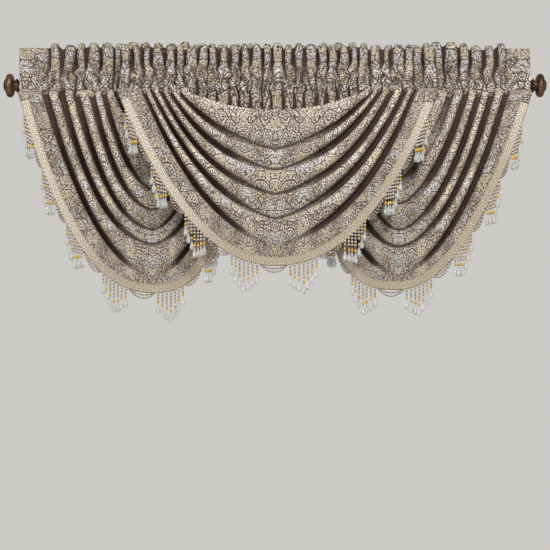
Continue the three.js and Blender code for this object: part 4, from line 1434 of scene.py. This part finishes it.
def paisley_group():
    """Woven paisley figures on a ground of patches, mirrored over the cloth's own metres.

    The patches of the ground are golden with a few dots, blue-grey and stippled, filled with a dotted
    rosette, or beige with curled stems, each with a dark and a pale outline.
    """
    name = "paisley_weave"
    if name in bpy.data.node_groups:
        return bpy.data.node_groups[name]
    inputs = [("Cloth", VECTOR)] + [(label, COLOUR) for label in YARNS]
    tree, entry, result = new_group(name, inputs, [("Color", COLOUR), ("Raised", VALUE)])
    x, y = split(tree, entry.outputs["Cloth"])
    mirrored = x.math("PINGPONG", HALF_REPEAT)
    folded = joined_vector(tree, mirrored, y)
    wx = mirrored + (noise(tree, folded, WOBBLES_A_METRE[0]) - 0.5) * WOBBLE
    wy = y + (noise(tree, folded, WOBBLES_A_METRE[1]) - 0.5) * WOBBLE
    size, lines = paisley_figure(tree, wx, wy)

    ground = joined_vector(tree, wx, wy)
    border, patch = patchwork(tree, ground, PATCHES)
    golden = patch.rise(*GOLDEN_BELOW)
    bluish = patch.near(*BLUISH_NEAR)
    starred = patch.near(*STARRED_NEAR)
    curled = patch.rise(*CURLED_ABOVE)
    stipple = dots(tree, ground, *STIPPLE)
    curls = scrollwork(tree, ground, *CURLS)
    drawn = most(
        dots(tree, ground, *DOTS) * golden,
        stipple * bluish * 0.72,
        rosettes(tree, ground, ROSETTES) * starred * 0.78,
        curls * curled * 0.88,
        border.rise(*BORDER_DARK),
    )
    outside = size.rise(1.10, 1.14)
    inside = size.rise(1.04, 1.00)
    middle = size.rise(0.78, 0.74)
    heart = size.rise(0.60, 0.56)
    around_heart = middle * size.rise(0.62, 0.66)
    dark = most(lines, drawn * outside, stipple * around_heart, curls * heart * 0.75)

    colour = mix(tree, golden, entry.outputs["Ground"], entry.outputs["Warm"])
    colour = mix(tree, bluish, colour, entry.outputs["Cool"])
    colour = mix(tree, border.near(*BORDER_PALE), colour, entry.outputs["Pale"])
    colour = mix(tree, inside, colour, entry.outputs["Pale"])
    colour = mix(tree, middle, colour, entry.outputs["Cool"])
    colour = mix(tree, heart, colour, entry.outputs["Warm"])
    colour = mix(tree, dark * 0.9, colour, entry.outputs["Outline"])
    colour = multiply(tree, colour, noise(tree, folded, 13.0) * 0.5 + 0.75)
    tree.links.new(colour, result.inputs["Color"])
    plug(tree, dark * -1.0 + 1.0, result.inputs["Raised"])
    return tree


def weave_group():
    """Fine weave: height of threads that cross, from two sine waves, and tone of slubs, from noise."""
    name = "thread_weave"
    if name in bpy.data.node_groups:
        return bpy.data.node_groups[name]
    tree, entry, result = new_group(
        name, [("Cloth", VECTOR), ("Threads", VALUE)], [("Height", VALUE), ("Tone", VALUE)])
    x, y = split(tree, entry.outputs["Cloth"])
    threads = Wire(tree, entry.outputs["Threads"])
    warp = (x * threads).math("SINE")
    weft = (y * threads).math("SINE")
    plug(tree, warp * weft * 0.5 + 0.5, result.inputs["Height"])
    slub = noise(tree, joined_vector(tree, x * SLUB_STRETCH, y), SLUBS)
    plug(tree, slub.rise(*SLUB_RANGE) * 2.0 - 1.0, result.inputs["Tone"])
    return tree


def new_material(name):
    """New material with only its output and a principled shader, and its tree and that shader."""
    material = bpy.data.materials.new(name)
    material.use_nodes = True
    tree = material.node_tree
    tree.nodes.clear()
    output = tree.nodes.new("ShaderNodeOutputMaterial")
    shader = tree.nodes.new("ShaderNodeBsdfPrincipled")
    tree.links.new(shader.outputs["BSDF"], output.inputs["Surface"])
    return material, tree, shader


def add_group(tree, group, **values):
    """Places a node group and sets its plain inputs."""
    node = tree.nodes.new("ShaderNodeGroup")
    node.node_tree = group
    for label, value in values.items():
        node.inputs[label].default_value = value
    return node


def bump(tree, shader, height, distance):
    """Raises a surface by so many metres of its height."""
    node = tree.nodes.new("ShaderNodeBump")
    node.inputs["Distance"].default_value = distance
    node.inputs["Strength"].default_value = 1.0
    plug(tree, height, node.inputs["Height"])
    tree.links.new(node.outputs["Normal"], shader.inputs["Normal"])


def uv_of(tree):
    """Place on the cloth, from the piece's own UV map."""
    node = tree.nodes.new("ShaderNodeUVMap")
    node.uv_map = "cloth"
    return node.outputs["UV"]


def multiply(tree, colour, tone):
    """Colour times a tone."""
    node = tree.nodes.new("ShaderNodeVectorMath")
    node.operation = "SCALE"
    tree.links.new(colour, node.inputs[0])
    plug(tree, tone, node.inputs["Scale"])
    return node.outputs[0]


def cloth_materials(settings):
    """Face of the jacquard, with painted shade between folds and painted highlights, and its reverse."""
    shadings = {"paisley_jacquard": FACE_SHADING, "jacquard_reverse": REVERSE_SHADING}
    return [cloth_material(settings, name, shading) for name, shading in shadings.items()]


def cloth_material(settings, name, shading):
    """Jacquard cloth: paisley weave with slubs, painted shade in the hollows, painted highlight below 0."""
    if name in bpy.data.materials:
        return bpy.data.materials[name]
    material, tree, shader = new_material(name)
    cloth = uv_of(tree)
    colours = {label: (*getattr(settings, label.lower()), 1.0) for label in YARNS}
    figure = add_group(tree, paisley_group(), **colours)
    weave = add_group(tree, weave_group(), Threads=2 * np.pi / CLOTH_THREAD)
    tree.links.new(cloth, figure.inputs["Cloth"])
    tree.links.new(cloth, weave.inputs["Cloth"])
    # Painted shading: a painted highlight below 0 brightens the weave, a painted shade above 0 darkens it
    painted_shading_node = tree.nodes.new("ShaderNodeAttribute")
    painted_shading_node.attribute_name = "painted_shading"
    painted_shading = Wire(tree, painted_shading_node.outputs["Fac"])
    painted_highlight = painted_shading.math("MINIMUM", 0.0) * -shading + 1.0
    contrast, middle = CLOTH_TONE
    tone = (Wire(tree, weave.outputs["Tone"]) * contrast + middle) * painted_highlight
    woven = multiply(tree, figure.outputs["Color"], tone)
    raised = Wire(tree, figure.outputs["Raised"])
    shaded = mix(tree, 0.5, multiply(tree, woven, DEEP_TONE), tuple(settings.painted_shading))
    tree.links.new(mix(tree, painted_shading * shading, woven, shaded), shader.inputs["Base Color"])
    plug(tree, most(raised * -0.14 + 0.80, painted_shading), shader.inputs["Roughness"])
    shader.inputs["Specular IOR Level"].default_value = 0.15
    bump(tree, shader, raised * 0.7 + Wire(tree, weave.outputs["Height"]) * 0.3, CLOTH_RELIEF)
    return material


def braid_material(settings):
    """Cream woven braid with golden picot edges and a chain of small dark-edged loops."""
    name = "cream_braid"
    if name in bpy.data.materials:
        return bpy.data.materials[name]
    material, tree, shader = new_material(name)
    cloth = uv_of(tree)
    x, y = split(tree, cloth)
    off_middle = (y - BRAID_WIDTH / 2).math("ABSOLUTE")
    edge = off_middle.rise(*PICOT_EDGE)
    cord = off_middle.near(*CORD_YARN)
    knots = (x * (2 * np.pi / PICOT_PITCH)).math("SINE").rise(-0.3, 0.3)
    ring_x = ((x / CHAIN_PITCH).math("FRACT") - 0.5) * CHAIN_PITCH
    chain = (ring_x * ring_x + off_middle * off_middle).math("SQRT").near(*CHAIN_RING)
    weave = add_group(tree, weave_group(), Threads=2 * np.pi / BRAID_THREAD)
    tree.links.new(cloth, weave.inputs["Cloth"])
    # Painted shade: the braid turns beige towards its lowest place
    golden = mix(tree, x.near(*LOW_SHADE_STRETCH) * 0.85, tuple(settings.braid), tuple(settings.golden))
    colour = mix(tree, edge * knots * 0.95, golden, tuple(settings.picot))
    colour = mix(tree, cord * (knots * 0.4 + 0.5), colour, tuple(settings.stripe))
    colour = mix(tree, chain * 0.9, colour, tuple(settings.ring))
    contrast, middle = BRAID_TONE
    colour = multiply(tree, colour, Wire(tree, weave.outputs["Tone"]) * contrast + middle)
    tree.links.new(colour, shader.inputs["Base Color"])
    shader.inputs["Roughness"].default_value = 0.7
    shader.inputs["Sheen Weight"].default_value = 0.1
    bump(tree, shader, chain * -0.6 + Wire(tree, weave.outputs["Height"]) * 0.4, BRAID_RELIEF)
    return material


def glossy(name, colour, roughness, transmission=0.0, metallic=0.0):
    """Bead material: a colour with faint streaks, glossy, more or less clear."""
    if name in bpy.data.materials:
        return bpy.data.materials[name]
    material, tree, shader = new_material(name)
    where = tree.nodes.new("ShaderNodeTexCoord").outputs["Object"]
    tone = noise(tree, where, STREAKS, 2.0)
    deep = tuple(0.7 * c for c in colour)
    tree.links.new(mix(tree, tone.rise(0.35, 0.65), deep, colour), shader.inputs["Base Color"])
    shader.inputs["Roughness"].default_value = roughness
    shader.inputs["Metallic"].default_value = metallic
    shader.inputs["Transmission Weight"].default_value = transmission
    shader.inputs["IOR"].default_value = GLASS_IOR
    return material


def bead_materials(settings):
    """Finishes of the fringe in order: small beads, spacers, amber beads and drops."""
    return [
        glossy("pale_glass_beads", tuple(settings.small_bead), roughness=0.18, transmission=0.15),
        glossy("dark_spacers", tuple(settings.spacer), roughness=0.35, metallic=0.6),
        glossy("amber_glass", tuple(settings.amber), roughness=0.12, transmission=0.25),
        glossy("clear_glass_drops", tuple(settings.drop), roughness=0.04, transmission=0.62),
    ]


def bronze_material(name, brightness):
    """Rubbed bronze: dark with worn copper-coloured patches, satin, with a fine hammered bump."""
    if name in bpy.data.materials:
        return bpy.data.materials[name]
    settings = bpy.context.scene.valance_hardware
    material, tree, shader = new_material(name)
    where = tree.nodes.new("ShaderNodeTexCoord").outputs["Object"]
    wear = noise(tree, where, WEAR, 3.0)
    fine = noise(tree, where, HAMMERING, 2.0)
    worn = tuple(brightness * c for c in settings.bronze)
    tree.links.new(mix(tree, wear.rise(0.3, 0.62), tuple(settings.dark), worn), shader.inputs["Base Color"])
    plug(tree, fine * 0.25 + 0.26, shader.inputs["Roughness"])
    shader.inputs["Metallic"].default_value = 0.7
    bump(tree, shader, fine, HAMMERED_RELIEF)
    return material


def dress(piece, node):
    """A piece moves with the body and stands for its node, which it hides."""
    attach(piece, BODY)
    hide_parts(node)


class VALANCE_OT_swags(bpy.types.Operator):
    """Builds the folded swags of all valances"""

    bl_idname = "valance.swags"
    bl_label = "Swags"

    def execute(self, context):
        settings = context.scene.valance_cloth
        for name, valance in VALANCES.items():
            piece = make_swag(name, valance, settings)
            dress(piece, f"{name}_swag")
        return {"FINISHED"}


class VALANCE_OT_headings(bpy.types.Operator):
    """Builds the gathered headings of all valances"""

    bl_idname = "valance.headings"
    bl_label = "Headings"

    def execute(self, context):
        settings = context.scene.valance_cloth
        for seed, (name, valance) in enumerate(VALANCES.items()):
            piece = make_heading(name, valance, settings, 10 * seed + 3)
            dress(piece, f"{name}_heading")
        return {"FINISHED"}


class VALANCE_OT_trims(bpy.types.Operator):
    """Builds the braids and the bead fringes of all valances"""

    bl_idname = "valance.trims"
    bl_label = "Braids and beads"

    def execute(self, context):
        settings = context.scene.valance_trim
        for seed, (name, valance) in enumerate(VALANCES.items()):
            braid = make_braid(name, valance, settings)
            dress(braid, f"{name}_trim")
            beads = make_beads(name, valance, settings, seed)
            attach(beads, BODY)
        return {"FINISHED"}


class VALANCE_OT_hardware(bpy.types.Operator):
    """Builds the rods and finials, and finishes the brackets"""

    bl_idname = "valance.hardware"
    bl_label = "Rods and finials"

    def execute(self, context):
        for name, y in (("rear_rod", REAR_ROD_Y), ("front_rod", FRONT_ROD_Y)):
            dress(make_rod(f"{name}_bar", name, y), name)
        for name, direction in (("finial_left", -1), ("finial_right", 1)):
            dress(make_finial(f"{name}_turned", name, direction), name)
        for name in ("bracket_left", "bracket_centre", "bracket_right"):
            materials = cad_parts[name].data.materials
            materials.clear()
            materials.append(bronze_material(*ROD_BRONZE))
        return {"FINISHED"}


class VALANCE_OT_stage(bpy.types.Operator):
    """Sets the camera, the light and the floor"""

    bl_idname = "valance.stage"
    bl_label = "Stage"

    def execute(self, context):
        settings = context.scene.valance_stage
        make_camera(settings)
        make_floor(settings)
        make_lights()
        context.scene.view_settings.view_transform = "Standard"
        return {"FINISHED"}


def make_camera(settings):
    """Camera level with the picture's centre, looking along +Y, with half the view at the view plane."""
    camera = bpy.data.cameras.new("camera")
    camera.sensor_width = SENSOR_WIDTH
    camera.lens = SENSOR_WIDTH / 2 * settings.distance / settings.half_view
    holder = bpy.data.objects.new("camera", camera)
    holder.location = (0.0, VIEW_PLANE_Y - settings.distance, settings.centre_z)
    holder.rotation_euler = (np.pi / 2, 0.0, 0.0)
    bpy.context.scene.collection.objects.link(holder)
    bpy.context.scene.camera = holder


def make_floor(settings):
    """Pale plain floor with a slight mottle: a square."""
    corners = np.array([(-1, -1, 0), (1, -1, 0), (1, 1, 0), (-1, 1, 0)]) * FLOOR_HALF
    corners[:, 2] = settings.floor_z
    material, tree, shader = new_material("pale_floor")
    where = tree.nodes.new("ShaderNodeTexCoord").outputs["Object"]
    tone = noise(tree, where, MOTTLE, 3.0)
    tree.links.new(mix(tree, tone, *FLOOR_COLOURS), shader.inputs["Base Color"])
    shader.inputs["Roughness"].default_value = 0.8
    floor = put_mesh("floor", [Shape(corners, np.array([[0, 1, 2, 3]]), NO_TRIANGLES)], [material])


def make_light(name, place, size, power):
    """Soft square light that looks at the middle of the valances."""
    light = bpy.data.lights.new(name, "AREA")
    light.size = size
    light.energy = power
    holder = bpy.data.objects.new(name, light)
    away = np.array(place) - np.array(LIGHT_TARGET)
    flat = np.hypot(away[0], away[1])
    holder.location = place
    holder.rotation_euler = (np.arctan2(flat, away[2]), 0.0, np.arctan2(away[0], -away[1]))
    bpy.context.scene.collection.objects.link(holder)


def make_lights():
    """A pale room, seen brighter than it lights, a large key from the upper front and a weaker fill."""
    world = bpy.data.worlds.new("pale_room")
    world.use_nodes = True
    tree = world.node_tree
    tree.nodes.clear()
    output = tree.nodes.new("ShaderNodeOutputWorld")
    blend = tree.nodes.new("ShaderNodeMixShader")
    seen = tree.nodes.new("ShaderNodeLightPath").outputs["Is Camera Ray"]
    tree.links.new(seen, blend.inputs[0])
    for socket, strength in ((1, ROOM_LIGHT), (2, ROOM_SEEN)):
        background = tree.nodes.new("ShaderNodeBackground")
        background.inputs["Color"].default_value = ROOM_COLOUR
        background.inputs["Strength"].default_value = strength
        tree.links.new(background.outputs[0], blend.inputs[socket])
    tree.links.new(blend.outputs[0], output.inputs["Surface"])
    bpy.context.scene.world = world
    for name, light in LIGHTS.items():
        make_light(name, *light)


class VALANCE_PT_panel(bpy.types.Panel):
    """Sidebar panel with the settings and the operators"""

    bl_label = "Valances"
    bl_idname = "VALANCE_PT_panel"
    bl_space_type = "VIEW_3D"
    bl_region_type = "UI"
    bl_category = "Valances"

    def draw(self, context):
        for operator in OPERATORS:
            self.layout.operator(operator.bl_idname)
        for label in SETTINGS:
            group = getattr(context.scene, label)
            for key in group.bl_rna.properties.keys():
                if key not in ("rna_type", "name"):
                    self.layout.prop(group, key)


SETTINGS = {
    "valance_cloth": ClothSettings,
    "valance_trim": TrimSettings,
    "valance_hardware": HardwareSettings,
    "valance_stage": StageSettings,
}
OPERATORS = (
    VALANCE_OT_stage,
    VALANCE_OT_swags,
    VALANCE_OT_headings,
    VALANCE_OT_trims,
    VALANCE_OT_hardware,
)


def register():
    """Adds the settings to every scene, and the operators and the panel to Blender."""
    for label, group in SETTINGS.items():
        bpy.utils.register_class(group)
        setattr(bpy.types.Scene, label, bpy.props.PointerProperty(type=group))
    for operator in OPERATORS:
        bpy.utils.register_class(operator)
    bpy.utils.register_class(VALANCE_PT_panel)


def unregister():
    """Takes out what register adds, in the other order."""
    bpy.utils.unregister_class(VALANCE_PT_panel)
    for operator in reversed(OPERATORS):
        bpy.utils.unregister_class(operator)
    for label, group in reversed(SETTINGS.items()):
        delattr(bpy.types.Scene, label)
        bpy.utils.unregister_class(group)


def main():
    """Builds the stage and all pieces."""
    register()
    bpy.ops.valance.stage()
    bpy.ops.valance.swags()
    bpy.ops.valance.headings()
    bpy.ops.valance.trims()
    bpy.ops.valance.hardware()


if __name__ == "__main__":
    main()
